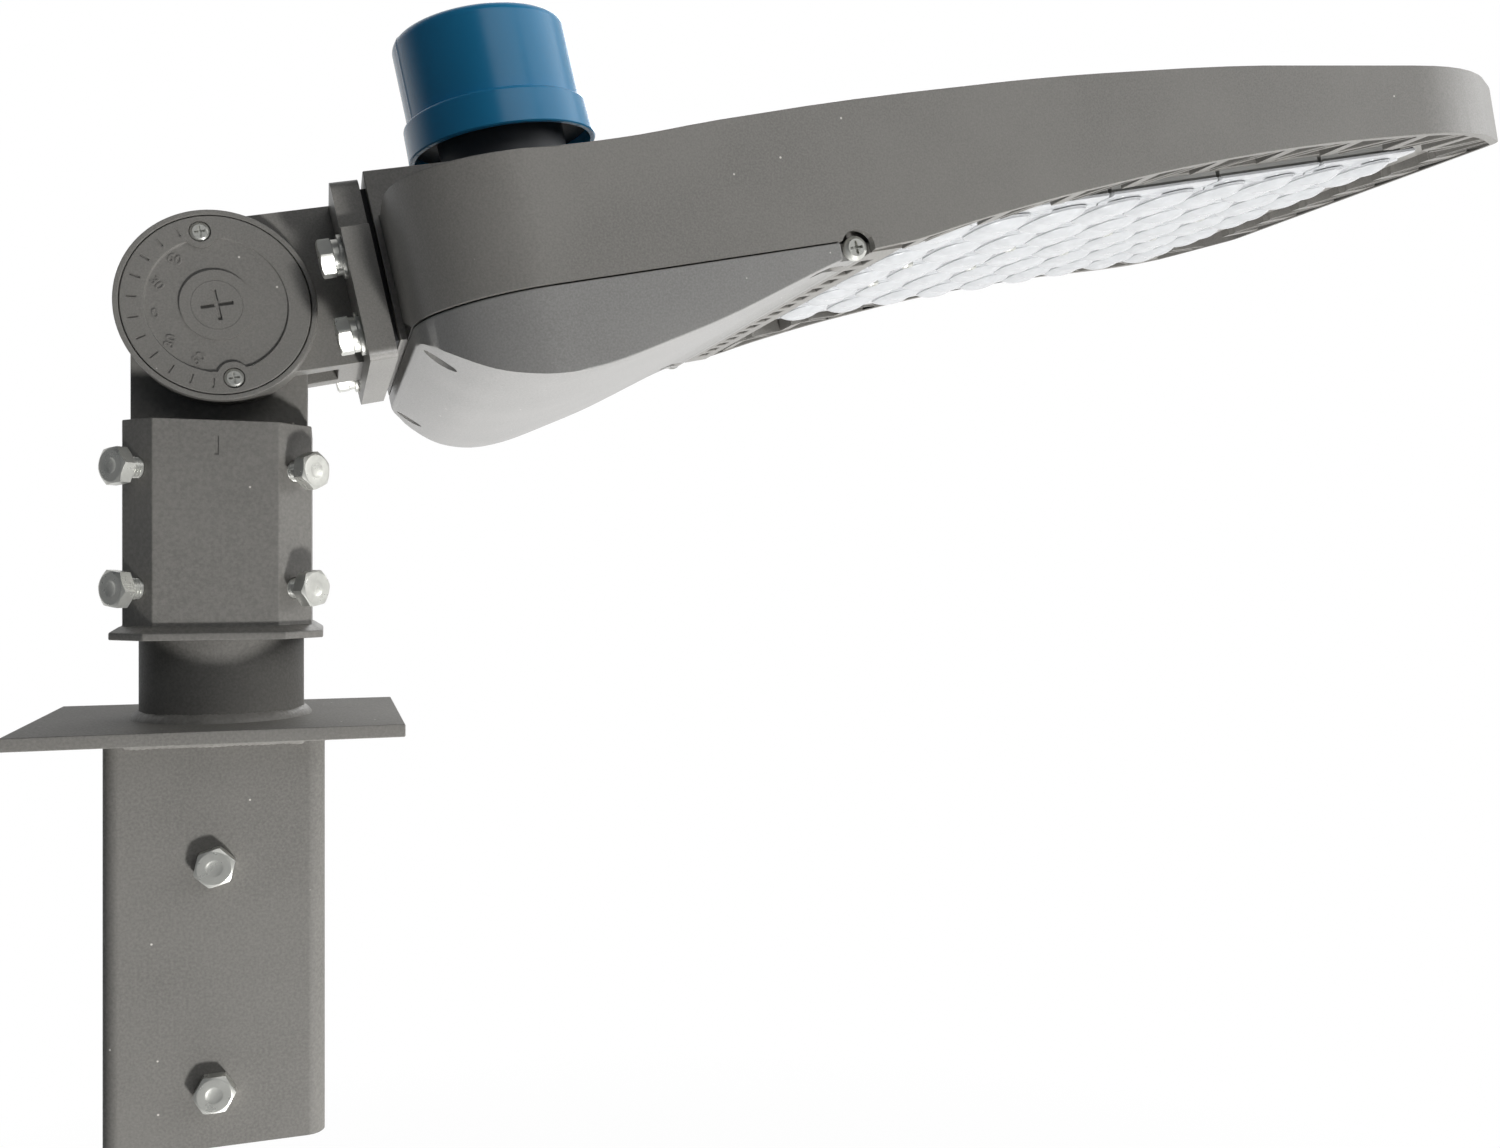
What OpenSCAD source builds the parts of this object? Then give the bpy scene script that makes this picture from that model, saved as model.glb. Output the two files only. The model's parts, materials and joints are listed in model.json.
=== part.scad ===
// LED area light on a slip fitter and a square-pole adapter.
// Frame: origin at the centre of the underside of the pole cap plate, +Z up,
// +X towards the front of the lamp head. Millimetres.
// The lamp head, its arm and all they carry are drawn level and then tilted
// about the knuckle bolt, so "level" x and z below are the head's own.

/* [Pole adapter] */
// Outside width of the square insert tube
tube_w = 76.2; // [74:0.1:80]
// Wall of the insert tube
tube_wall = 3; // [2.5:0.5:5]
// Outside corner radius of the insert tube
tube_r = 6; // [5:1:9]
// Length of the insert tube below the cap plate
tube_len = 150; // [145:5:250]
// Width of the cap plate along X
plate_w = 133; // [120:1:160]
// Depth of the cap plate along Y
plate_d = 112; // [100:1:160]
// Thickness of the cap plate
plate_t = 4.8; // [4:0.2:8]
// Outside diameter of the round tenon
tenon_d = 60.3; // [58:0.1:61]
// Wall of the tenon
tenon_wall = 3.2; // [2.5:0.1:5]
// Height of the tenon's top above the cap plate's underside
tenon_top = 111; // [100:1:112]
// Diameter of the wire hole in the cap plate
wire_hole_d = 46; // [30:1:50]
// Leg of the weld fillets
weld_leg = 3; // [2:0.5:4]
// Depth of the upper insert bolt below the cap plate
insert_bolt_drop = 46.6; // [35:0.2:55]
// Distance between the insert bolts
insert_bolt_pitch = 82.4; // [60:0.2:85]
// Room between the tube and the heads of the insert bolts
insert_bolt_gap = 0.2; // [0:0.1:8]

/* [Slip fitter] */
// Width across flats of the fitter's sleeve
sleeve_w = 66.5; // [66.5:0.5:74]
// Corner chamfer of the sleeve
sleeve_chamfer = 11.5; // [10:0.5:12]
// Bore of the sleeve
sleeve_bore = 61.4; // [61.2:0.1:62]
// Underside of the sleeve's foot flange
sleeve_z0 = 36; // [30:1:40]
// Top of the sleeve
sleeve_z1 = 117.6; // [117:0.2:119]
// Width of the foot flange
foot_w = 75; // [73:0.5:80]
// Thickness of the foot flange at its edge
foot_t = 2.6; // [2:0.2:4]
// Heights of the two rows of set bolts
set_bolt_z = [55, 99.5];
// Distance of a set bolt's head face from the tenon axis
set_bolt_out = 50; // [48:0.5:54]
// Thickness of the tongue that stands up into the knuckle
tongue_t = 27.4; // [24:0.2:28]
// Radius of the tongue's rounded top
tongue_r = 31.5; // [30:0.5:32]

/* [Knuckle arm] */
// Height of the knuckle bolt above the cap plate's underside
pivot_z = 160.8; // [160:0.2:165]
// Tilt of the lamp head above level, in degrees
tilt = 12.5; // [0:0.5:20]
// Radius of the knuckle's cheeks
cheek_r = 35.5; // [35.5:0.5:38]
// Distance from the middle plane to the rim of a cheek
cheek_y = 30; // [30:0.5:33]
// Radius of the round dial cover
dial_r = 33.2; // [32.5:0.1:33.4]
// Radius of the raised ring's inner edge on the dial cover
dial_ring_r = 25; // [23:0.5:26]
// Width of the arm block
arm_w = 48; // [46:0.5:50]
// Height of the arm block above the knuckle bolt
arm_top = 32.6; // [29:0.2:33]
// Depth of the arm block below the knuckle bolt
arm_drop = 28.4; // [26:0.2:29]
// Level x of the arm flange's bolted face
flange_x1 = 57.5; // [56:0.5:58]
// Thickness of the arm flange
flange_t = 10; // [8:0.5:11]
// Half width of the arm flange
flange_half_w = 65; // [63:0.5:66]
// Half distance between the flange bolts, across the arm
flange_bolt_y = 50; // [46:0.5:52]
// Level heights of the two rows of flange bolts
flange_bolt_z = [6.7, -22];

/* [Lamp head] */
// Level x of the head's rear face
head_x0 = 62; // [62:0.5:64]
// Level x of the head's front face
head_x1 = 567; // [560:1:585]
// Half width of the head
head_half_w = 128; // [127:0.5:132]
// Plan radius of the rear corners
rear_r = 43; // [38:1:46]
// Level x where the straight sides end
side_end_x = 483; // [475:1:488]
// Plan radius of the bend towards the nose
bend_r = 98; // [85:1:105]
// Taper of the nose, in degrees
nose_taper = 35; // [30:1:37]
// Plan radius of the nose corners
nose_r = 10; // [6:1:14]
// Thickness of the housing's side wall
wall = 3.5; // [3:0.1:4]
// Level height of the compartment's roof
roof_z = 13; // [12:0.5:14]
// Half width of the raised hump over the compartment
hump_half_w = 62; // [60:0.5:66]
// Level height of the hump's top
hump_z = 33.3; // [30:0.1:34]
// Width of the open lattice round the lamp deck
lattice_w = 20; // [18:0.5:22]
// Pitch of the lattice's cross bars
lattice_pitch = 34; // [32:0.5:38]
// Width of a cross bar of the lattice
lattice_bar = 6; // [4:0.5:8]
// Thickness of a slanted fin of the lattice
lattice_fin = 1.6; // [1.2:0.1:2.5]
// Slant of the lattice fins, in degrees
lattice_slant = 40; // [35:1:55]
// Underside of the lamp deck
deck_z = -18; // [-18.5:0.1:-17]
// Thickness of the lamp deck
deck_t = 4; // [3:0.5:6]
// Pitch of the cooling fins
fin_pitch = 14; // [12:0.5:18]
// Thickness of a cooling fin
fin_t = 2; // [1.5:0.1:3]

/* [Compartment door] */
// Level height of the seam between housing and door
seam_z = -29; // [-29.5:0.1:-28.5]
// Gap of the seam
seam_gap = 0.4; // [0.3:0.1:0.8]
// Level x of the door's hinge line
hinge_x = 215; // [214:0.5:216]
// Level z of the door's hinge line
hinge_z = -32; // [-32.5:0.1:-31.5]
// Wall of the door
door_wall = 3; // [2.5:0.1:3.2]
// Radius of the door's hinge barrel
barrel_r = 4; // [3.8:0.1:4.2]

/* [Photocell socket and cap] */
// Level x of the socket's axis
socket_x = 124; // [118:0.5:128]
// Diameter of the socket's collar
socket_d = 53; // [50:0.5:56]
// Level height of the cap's lower rim
cap_z0 = 52; // [50:0.5:56]
// Height of the cap's wide lower ring
cap_ring_h = 14.5; // [12:0.5:18]
// Diameter of the cap's wide lower ring
cap_ring_d = 79; // [77:0.5:80]
// Height of the whole cap
cap_h = 49; // [45:0.5:55]
// Diameter of the cap's upper part
cap_d = 73.6; // [72:0.2:74]

/* [Lamp modules] */
// Number of lens modules
module_n = 5; // [4:1:5]
// Length of one module along the head
module_l = 54; // [52:0.5:54]
// Strip of lamp deck left free beside the lens modules
module_edge = 3; // [2:0.5:5]
// Level x where the first module starts
module_x0 = 236; // [236:0.5:238]
// Underside of the flat part of a lens module
lens_z = -23; // [-23.5:0.1:-22.5]
// Lens domes across the head
dome_n = 5; // [4:1:5]
// Distance from a module's end to the axis of its outermost dome
dome_edge = 25; // [24:0.5:27]
// Radius of a lens dome's footprint
dome_r = 12; // [10:0.5:12.5]
// Height of a lens dome
dome_h = 6.5; // [5:0.5:8]

/* [Fasteners] */
// Width across flats of the M8 hex heads
hex_af = 13; // [12.5:0.1:13.5]
// Height of the M8 hex heads
hex_h = 5.3; // [5:0.1:5.6]
// Shank diameter of the M8 bolts
bolt_d = 8; // [7.9:0.1:8.1]
// Knuckle bolt diameter
pivot_d = 12; // [10:1:12]
// Radial running clearance of shafts and shanks in their holes
run_gap = 0.06; // [0.04:0.01:0.08]
// Clearance between parts that face each other
fit_gap = 0.3; // [0.2:0.05:0.35]

/* [Hidden] */
$fn = 96;

// Derived sizes of the adapter and the fitter
bolt_r = bolt_d / 2;
tube_half = tube_w / 2;
tenon_r = tenon_d / 2;
nut_h = 6.5;
insert_bolt_out = hex_h + insert_bolt_gap;
tip_gap = fit_gap;
sleeve_half = sleeve_w / 2;
foot_slope_h = 2.4;
foot_chamfer = sleeve_chamfer + 1.5;
index_w = 1.6;
index_z0 = sleeve_z1 - 13;
index_h = 7;
foot_z1 = sleeve_z0 + foot_t + foot_slope_h;
sleeve_cap_z = tenon_top + 1.5;
tongue_y = tongue_t / 2;
wireway_d = 14;
wireway_z = pivot_z - 25;

// Derived sizes of the knuckle
slot_y = tongue_y + fit_gap;
slot_x1 = 38;
cover_t = 5;
pocket_y = cheek_y - cover_t - 0.2;
pivot_r = pivot_d / 2;
pivot_af = 18;
pivot_head_h = 6.5;
pivot_washer_t = 2;
pivot_seat_y = cheek_y - 12.5;
pivot_recess_r = 12.6;
plug_r = 9;
plug_t = 2.4;
boss_ring_r = 13;
plug_slot_l = 11.6;
plug_slot_w = 1.5;
mark_r0 = 27.5;
mark_r1 = 31;
mark_w = 0.8;
land_r = 6;
cover_screw_at = 27.6;
cover_screw_r = 2;
cover_head_r = 3.6;
cover_head_h = 2;
cover_screw_len = 12.5;
cover_land_r = 3.9;
flange_x0 = flange_x1 - flange_t;
flange_z0 = -34.5;
flange_z1 = 32;
flange_step_z = 14;
flange_upper_half_w = 60;
gasket_t = 2;
pad_x0 = flange_x1 + gasket_t;
gasket_half_w = flange_upper_half_w - 2;
gasket_top_z = flange_z1 - 4;
flat_t = 1.6;
flat_r = 8;
spring_t = 2.2;
spring_r = 6.5;
flange_bolt_in = 26;
flange_hole_r = bolt_r + 0.35;
wire_entry_r = 11;

// Derived sizes of the head
hole_clear = 0.1;
deck_in = wall + 0.5 + lattice_w;
cross_x0 = 221.5;
cross_x1 = 234;
bulkhead_t = 3;
rim_top = [
    [56, 17], [62, 16.8], [79, 16.2], [117, 15.2], [145, 15.7], [174, 17.6], [225, 19.4],
    [285, 19.7], [329, 18.8], [388, 16], [438, 11.9], [491, 6.9], [540, 3.7], [576, 2.4]
];
rim_bottom = [
    [222, -33.4], [239, -32.6], [264, -29], [294, -25.6], [320, -23.3], [359, -20.6],
    [400, -19.2], [440, -19.4], [480, -21], [530, -23], [576, -21.8]
];
nose_top_z = 2.5;
nose_rim_z = -21.8;
belly = [
    [57, -31.5], [62, -35.2], [71, -44.2], [82, -52.2], [94, -56.6], [106, -58.2], [120, -57.4],
    [140, -53.6], [162, -48.8], [184, -42.6], [204, -36.8], [214, -35.4]
];
door_top_z = seam_z - seam_gap;
seal_in = 13;
seal_w = 4;
seal_t = 1;
seal_x1 = hinge_x - 12;
ledge_w = seal_in + seal_w + 1;
door_flange_t = 3;
notch_r = 6.4;
ear_y0 = head_half_w - 12.5;
ear_y1 = head_half_w - wall - fit_gap;
lug_y0 = ear_y0 - 8;
hinge_screw_r = 2.5;
hinge_head_r = 4.3;
hinge_head_h = 2.8;
hinge_head_in = 0.4;
door_screw_x = 69;
door_screw_y = head_half_w - 41;
door_screw_r = 2.5;
door_well_r = 4.8;
door_well_floor = 5;
door_head_r = 4.2;
door_head_h = 3.2;
door_screw_len = 13.4;
door_thread_gap = 0.35;
vent_pitch = 16;
vent_n = floor((2 * head_half_w - 32) / vent_pitch);
vent_l = 10;
vent_w = 5;
breather_y = head_half_w - 58;
breather_z = -4;
breather_r = 6;

// Derived sizes of the socket and cap
socket_r = socket_d / 2;
socket_flange_r = 35;
socket_flange_t = 3.5;
socket_gasket_t = 1.5;
socket_z0 = hump_z + socket_gasket_t;
socket_top_z = cap_z0 + 6;
cap_skin = 2.2;
cap_base_z = socket_top_z + fit_gap;
cap_seat = 0.2;
blade_ring_r = 16;
blade_t = 1.6;
blade_w = 16;
blade_len = 13;
twist = 25;
socket_screw_r = 2;
socket_screw_y = socket_flange_r - 4;
socket_head_r = 3.4;
socket_head_h = 2;
socket_screw_len = 12;

// Derived sizes of the lamp modules
board_t = 1.6;
chip_t = 0.7;
lens_t = 2.2;
board_z = deck_z - board_t;
module_half_w = head_half_w - deck_in - module_edge;
dome_pitch_x = module_l / 2;
dome_pitch_y = 2 * (module_half_w - dome_edge) / (dome_n - 1);
module_gap = 0.6;
lens_screw_r = 1.5;
lens_head_r = 3;
lens_head_h = 1.8;

// Derived sizes of what the compartment holds
driver_x0 = 148;
driver_x1 = 206;
driver_y = head_half_w - 40;
driver_z0 = -26;
driver_z1 = 7;
driver_ear_w = 15;
driver_ear_t = 3;
driver_screw_in = 6;
driver_screw_y = driver_y + 9;
driver_screw_r = 2;
driver_head_r = 3.8;
driver_head_h = 2.4;
driver_screw_len = 16;
surge_x0 = 84;
surge_x1 = 136;
surge_y0 = head_half_w - 54;
surge_y1 = head_half_w - 16;
surge_z0 = -20;
bay_top_z = roof_z - wall;
terminal_x0 = 92;
terminal_x1 = 128;
terminal_y0 = head_half_w - 52;
terminal_y1 = head_half_w - 20;
terminal_z0 = -8;
terminal_pitch = 12;
terminal_hole_r = 3;

// ---- Helpers -------------------------------------------------------------

// The head's own frame: level parts tilted about the knuckle bolt.
module in_head() {
    translate([0, 0, pivot_z])
        rotate([0, -tilt, 0])
            children();
}

// A cylinder along +Y that starts at y.
module rod_y(x, y, z, r, l) {
    translate([x, y, z])
        rotate([-90, 0, 0])
            cylinder(r = r, h = l);
}

// A cylinder along +X that starts at x.
module rod_x(x, y, z, r, l) {
    translate([x, y, z])
        rotate([0, 90, 0])
            cylinder(r = r, h = l);
}

// A box given by its two corners.
module span(a, b) {
    translate(a)
        cube([b[0] - a[0], b[1] - a[1], b[2] - a[2]]);
}

// Both halves of something that is the same on the left and the right.
module both_sides() {
    children();
    mirror([0, 1, 0])
        children();
}

// A square of width w with rounded corners of radius r.
module rounded_square(w, r) {
    union() {
        square([w - 2 * r, w], center = true);
        square([w, w - 2 * r], center = true);
        for (sx = [-1, 1], sy = [-1, 1])
            translate([sx * (w / 2 - r), sy * (w / 2 - r)])
                circle(r);
    }
}

// A square of half width a with its corners cut off by c.
module chamfered_square(a, c) {
    polygon([
        [a - c, -a], [a, -a + c], [a, a - c], [a - c, a],
        [-a + c, a], [-a, a - c], [-a, -a + c], [-a + c, -a]
    ]);
}

// A hexagonal prism of a width across flats, along +Z.
module hex(af, h) {
    cylinder(d = af / cos(30), h = h, $fn = 6);
}

// A hex bolt along +Z whose head's outer face is at z = 0 and whose shank follows.
module hex_bolt(af, head_h, r, total) {
    union() {
        intersection() {
            hex(af, head_h);
            translate([0, 0, -af * 0.42])
                cylinder(r1 = 0.01, r2 = af * 1.42 + 0.01, h = af * 1.42);
        }
        translate([0, 0, head_h])
            cylinder(r = r, h = total - head_h);
    }
}

// A pan head screw along -Z whose head's top is at z = 0, with a cross recess.
module pan_screw(head_r, head_h, r, total) {
    difference() {
        union() {
            translate([0, 0, -head_h])
                cylinder(r = head_r, h = head_h * 0.6);
            translate([0, 0, -head_h * 0.4])
                cylinder(r1 = head_r, r2 = head_r * 0.72, h = head_h * 0.4);
            translate([0, 0, -total])
                cylinder(r = r, h = total - head_h);
        }
        for (a = [0, 90])
            rotate(a)
                translate([-head_r * 0.55, -head_r * 0.11, -head_h * 0.55])
                    cube([head_r * 1.1, head_r * 0.22, head_h]);
    }
}

// Points of an arc.
function arc(cx, cy, r, a0, a1, n) =
    [for (i = [0:n]) let (a = a0 + (a1 - a0) * i / n) [cx + r * cos(a), cy + r * sin(a)]];

// One point of a smooth curve through four neighbours.
function blend4(a, b, c, d, t) =
    0.5 * (2 * b + (c - a) * t + (2 * a - 5 * b + 4 * c - d) * t * t
        + (3 * b - a - 3 * c + d) * t * t * t);

// A smooth curve through a list of points; the end points only steer it.
function smooth(p, n) = [
    for (i = [1:len(p) - 3], k = [0:n - 1]) blend4(p[i - 1], p[i], p[i + 1], p[i + 2], k / n),
    p[len(p) - 2]
];

// Half width of the nose's taper line at x, for a wall moved in by d.
function taper_y(x, d) =
    let (bx = side_end_x + (bend_r - d) * sin(nose_taper))
    head_half_w - bend_r + (bend_r - d) * cos(nose_taper) - tan(nose_taper) * (x - bx);

// One side of the head's plan outline, moved in by d.
function plan_side(d) =
    let (r = max(nose_r - d, 1), cx = head_x1 - d - r, rr = max(rear_r - d, 1))
    concat(
        arc(head_x0 + rear_r, head_half_w - rear_r, rr, 180, 90, 12),
        arc(side_end_x, head_half_w - bend_r, bend_r - d, 90, 90 - nose_taper, 6),
        arc(cx, taper_y(cx, d) - r / cos(nose_taper), r,
            90 - nose_taper, 0, 5)
    );

// The head's plan outline, moved in by d.
module plan(d) {
    side = plan_side(d);
    n = len(side);
    polygon(concat(side, [for (i = [n - 1:-1:0]) [side[i][0], -side[i][1]]]));
}

// The plan outline as a tall prism.
module plan_prism(d) {
    translate([0, 0, -80])
        linear_extrude(140)
            plan(d);
}

// A side-view outline stretched across the head.
module across(half_w, points) {
    rotate([90, 0, 0])
        translate([0, 0, -half_w])
            linear_extrude(2 * half_w)
                polygon(points);
}

// Side view of the space between the rim's bottom and its top, each moved by an amount.
function rim_band(x0, bottom_up, top_down) = concat(
    [for (p = smooth(rim_top, 3)) if (p[0] > x0) [p[0], p[1] - top_down]],
    [[head_x1 + 6, nose_top_z - top_down], [head_x1 + 6, nose_rim_z + bottom_up]],
    [for (p = reverse(smooth(rim_bottom, 3))) if (p[0] > x0 && p[0] < head_x1) [p[0], p[1] + bottom_up]]
);

function reverse(p) = [for (i = [len(p) - 1:-1:0]) p[i]];

// ---- Pole adapter --------------------------------------------------------

// Levels of the insert bolts.
function insert_levels() = [-insert_bolt_drop, -insert_bolt_drop - insert_bolt_pitch];

module insert_tube() {
    color("dimgray")
        difference() {
            translate([0, 0, -tube_len])
                linear_extrude(tube_len)
                    rounded_square(tube_w, tube_r);
            translate([0, 0, -tube_len - 1])
                linear_extrude(tube_len + 2)
                    rounded_square(tube_w - 2 * tube_wall, tube_r - tube_wall);
            for (z = insert_levels())
                rod_y(0, -tube_half - 1, z, bolt_r + hole_clear, tube_w + 2);
        }
}

module cap_plate() {
    color("dimgray")
        difference() {
            translate([-plate_w / 2, -plate_d / 2, 0])
                cube([plate_w, plate_d, plate_t]);
            translate([0, 0, -1])
                cylinder(d = wire_hole_d, h = plate_t + 2);
        }
}

module tenon() {
    color("dimgray")
        difference() {
            translate([0, 0, plate_t])
                cylinder(r = tenon_r, h = tenon_top - plate_t);
            translate([0, 0, plate_t - 1])
                cylinder(r = tenon_r - tenon_wall, h = tenon_top);
        }
}

module weld_fillets() {
    color("gray") {
        translate([0, 0, plate_t])
            difference() {
                cylinder(r1 = tenon_r + weld_leg, r2 = tenon_r, h = weld_leg);
                translate([0, 0, -1])
                    cylinder(r = tenon_r, h = weld_leg + 2);
            }
        // A straight bead under the plate along each side of the tube.
        for (a = [0:90:270])
            rotate(a)
                translate([tube_half, tube_half - tube_r, 0])
                    rotate([90, 0, 0])
                        linear_extrude(tube_w - 2 * tube_r)
                            polygon([[0, 0], [0, -weld_leg], [weld_leg, 0]]);
    }
}

// Places something at each insert bolt: +Z points into the tube from its face.
module at_insert_bolts() {
    for (z = insert_levels(), s = [0, 180])
        rotate([0, 0, s])
            translate([0, -tube_half, z])
                rotate([-90, 0, 0])
                    children();
}

module insert_bolts() {
    color("silver")
        at_insert_bolts()
            translate([0, 0, -insert_bolt_out])
                hex_bolt(hex_af, hex_h, bolt_r, insert_bolt_out + tube_wall + nut_h + 2);
}

module insert_weld_nuts() {
    color("gray")
        at_insert_bolts()
            translate([0, 0, tube_wall])
                difference() {
                    hex(hex_af, nut_h);
                    translate([0, 0, -1])
                        cylinder(r = bolt_r + hole_clear, h = nut_h + 2);
                }
}

// ---- Slip fitter ---------------------------------------------------------

// Places something at each set bolt: +Z points at the tenon from the bolt's head face.
module at_set_bolts() {
    for (z = set_bolt_z, a = [-45, -135])
        rotate([0, 0, a])
            translate([set_bolt_out, 0, z])
                rotate([0, -90, 0])
                    children();
}

module slip_fitter() {
    color("dimgray")
        difference() {
            union() {
                translate([0, 0, sleeve_z0])
                    linear_extrude(sleeve_z1 - sleeve_z0)
                        chamfered_square(sleeve_half, sleeve_chamfer);
                translate([0, 0, sleeve_z0])
                    linear_extrude(foot_t)
                        chamfered_square(foot_w / 2, foot_chamfer);
                hull() {
                    translate([0, 0, sleeve_z0 + foot_t])
                        linear_extrude(0.01)
                            chamfered_square(foot_w / 2, foot_chamfer);
                    translate([0, 0, foot_z1])
                        linear_extrude(0.01)
                            chamfered_square(sleeve_half + 0.6, sleeve_chamfer);
                }
                span([-tongue_r, -tongue_y, sleeve_z1 - 1], [tongue_r, tongue_y, pivot_z]);
                rod_y(0, -tongue_y, pivot_z, tongue_r, tongue_t);
            }
            translate([0, 0, sleeve_z0 - 1])
                cylinder(d = sleeve_bore, h = sleeve_cap_z - sleeve_z0 + 1);
            at_set_bolts()
                cylinder(r = bolt_r + hole_clear, h = set_bolt_out);
            rod_y(0, -tongue_y - 1, pivot_z, pivot_r + run_gap, tongue_t + 2);
            // Wireway: up from the sleeve and out towards the arm.
            translate([0, 0, sleeve_cap_z - 1])
                cylinder(d = wireway_d, h = wireway_z - sleeve_cap_z + 1);
            rod_x(0, 0, wireway_z, wireway_d / 2, tongue_r + 1);
            // Index mark under the dial.
            span([-index_w / 2, -sleeve_half - 1, index_z0],
                [index_w / 2, -sleeve_half + 0.5, index_z0 + index_h]);
        }
}

module set_bolts() {
    color("silver")
        at_set_bolts()
            hex_bolt(hex_af, hex_h, bolt_r, set_bolt_out - tenon_r - tip_gap);
}

// ---- Knuckle arm ---------------------------------------------------------

// Places something at each flange bolt: origin on the arm side of the flange.
module at_flange_bolts() {
    for (sy = [-1, 1], z = flange_bolt_z)
        translate([flange_x0, sy * flange_bolt_y, z])
            rotate([0, 90, 0])
                children();
}

module flange_plate() {
    r = 4;
    difference() {
        union() {
            span([flange_x0, -flange_half_w, flange_z0 + r],
                [flange_x1, flange_half_w, flange_step_z]);
            span([flange_x0, -flange_half_w + r, flange_z0],
                [flange_x1, flange_half_w - r, flange_z0 + r + 1]);
            both_sides()
                rod_x(flange_x0, flange_half_w - r, flange_z0 + r, r, flange_t);
            span([flange_x0, -flange_upper_half_w, flange_step_z - 1],
                [flange_x1, flange_upper_half_w, flange_z1 - r]);
            span([flange_x0, -flange_upper_half_w + r, flange_z1 - r - 1],
                [flange_x1, flange_upper_half_w - r, flange_z1]);
            both_sides()
                rod_x(flange_x0, flange_upper_half_w - r, flange_z1 - r, r, flange_t);
        }
        at_flange_bolts()
            translate([0, 0, -1])
                cylinder(r = flange_hole_r, h = flange_t + 2);
    }
}

module knuckle_arm() {
    color("dimgray")
        in_head()
            difference() {
                union() {
                    both_sides()
                        rod_y(0, slot_y, 0, cheek_r, cheek_y - slot_y);
                    span([0, -arm_w / 2, -arm_drop], [flange_x0 + 1, arm_w / 2, arm_top]);
                    flange_plate();
                }
                span([-cheek_r - 1, -slot_y, -cheek_r - 1], [slot_x1, slot_y, cheek_r + 1]);
                both_sides() {
                    rod_y(0, pocket_y, 0, dial_r + fit_gap, cheek_y);
                    rod_y(0, pivot_seat_y, 0, pivot_recess_r, cheek_y);
                    for (z = [-1, 1])
                        rod_y(0, slot_y + 2, z * cover_screw_at, cover_screw_r + hole_clear, cheek_y);
                }
                rod_y(0, -cheek_y, 0, pivot_r + run_gap, 2 * cheek_y);
                rod_x(slot_x1 - 1, 0, 0, wire_entry_r, flange_x1 - slot_x1 + 2);
            }
}

module knuckle_bolt() {
    color("silver")
        in_head()
            translate([0, -pivot_seat_y - pivot_washer_t - pivot_head_h, 0])
                rotate([-90, 0, 0])
                    hex_bolt(pivot_af, pivot_head_h, pivot_r,
                        2 * (pivot_seat_y + pivot_washer_t + pivot_head_h) - 1);
}

module knuckle_nut() {
    color("silver")
        in_head()
            translate([0, pivot_seat_y + pivot_washer_t, 0])
                rotate([-90, 0, 0])
                    difference() {
                        hex(pivot_af, pivot_head_h);
                        translate([0, 0, -1])
                            cylinder(r = pivot_r + run_gap, h = pivot_head_h + 2);
                    }
}

module knuckle_washers() {
    color("silver")
        in_head()
            both_sides()
                difference() {
                    rod_y(0, pivot_seat_y, 0, pivot_recess_r - 0.6, pivot_washer_t);
                    rod_y(0, pivot_seat_y - 1, 0, pivot_r + 0.3, pivot_washer_t + 2);
                }
}

// A round cover for the pocket of a cheek: drawn on the +Y side.
module cover_blank() {
    difference() {
        rod_y(0, pocket_y + 0.2, 0, dial_r, cover_t);
        rod_y(0, pocket_y - 1, 0, pivot_recess_r, 1.2 + cover_t - plug_t - 0.2);
        rod_y(0, pocket_y, 0, plug_r + hole_clear, cover_t + 1);
        for (z = [-1, 1]) {
            rod_y(0, pocket_y, z * cover_screw_at, cover_screw_r + hole_clear, cover_t + 1);
            rod_y(0, cheek_y - 2.2, z * cover_screw_at, cover_land_r, 3);
        }
        // The middle lies below the raised ring, with a land round each screw.
        difference() {
            rod_y(0, cheek_y - 1, 0, dial_ring_r, 2);
            for (z = [-1, 1])
                rod_y(0, cheek_y - 2, z * cover_screw_at, land_r, 4);
            rod_y(0, cheek_y - 2, 0, boss_ring_r, 4);
        }
    }
}

module dial_cover() {
    color("dimgray")
        in_head()
            difference() {
                mirror([0, 1, 0])
                    cover_blank();
                // Scale marks every 15 degrees on the raised ring.
                for (a = [-75:15:90])
                    rotate([0, a - 90, 0])
                        span([-mark_w / 2, -cheek_y - 1, mark_r0],
                            [mark_w / 2, -cheek_y + 0.5, mark_r1]);
            }
}

module back_cover() {
    color("dimgray")
        in_head()
            cover_blank();
}

// Two screws in a cover on the +Y side.
module cover_screws() {
    for (z = [-1, 1])
        translate([0, cheek_y - 0.2, z * cover_screw_at])
            rotate([-90, 0, 0])
                pan_screw(cover_head_r, cover_head_h, cover_screw_r, cover_screw_len);
}

module dial_cover_screws() {
    color("silver")
        in_head()
            mirror([0, 1, 0])
                cover_screws();
}

module back_cover_screws() {
    color("silver")
        in_head()
            cover_screws();
}

// Round plug of a cover's middle, with a cross slot, on the +Y side.
module cover_plug() {
    difference() {
        rod_y(0, cheek_y - plug_t, 0, plug_r, plug_t);
        for (a = [0, 90])
            rotate([0, a, 0])
                span([-plug_slot_l / 2, cheek_y - 1.2, -plug_slot_w / 2],
                    [plug_slot_l / 2, cheek_y + 1, plug_slot_w / 2]);
    }
}

module dial_plug() {
    color("dimgray")
        in_head()
            mirror([0, 1, 0])
                cover_plug();
}

module back_plug() {
    color("dimgray")
        in_head()
            cover_plug();
}

module flange_bolts() {
    color("silver")
        in_head()
            at_flange_bolts()
                translate([0, 0, -flat_t - spring_t - hex_h])
                    hex_bolt(hex_af, hex_h, bolt_r, flat_t + spring_t + hex_h + flange_bolt_in);
}

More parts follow.
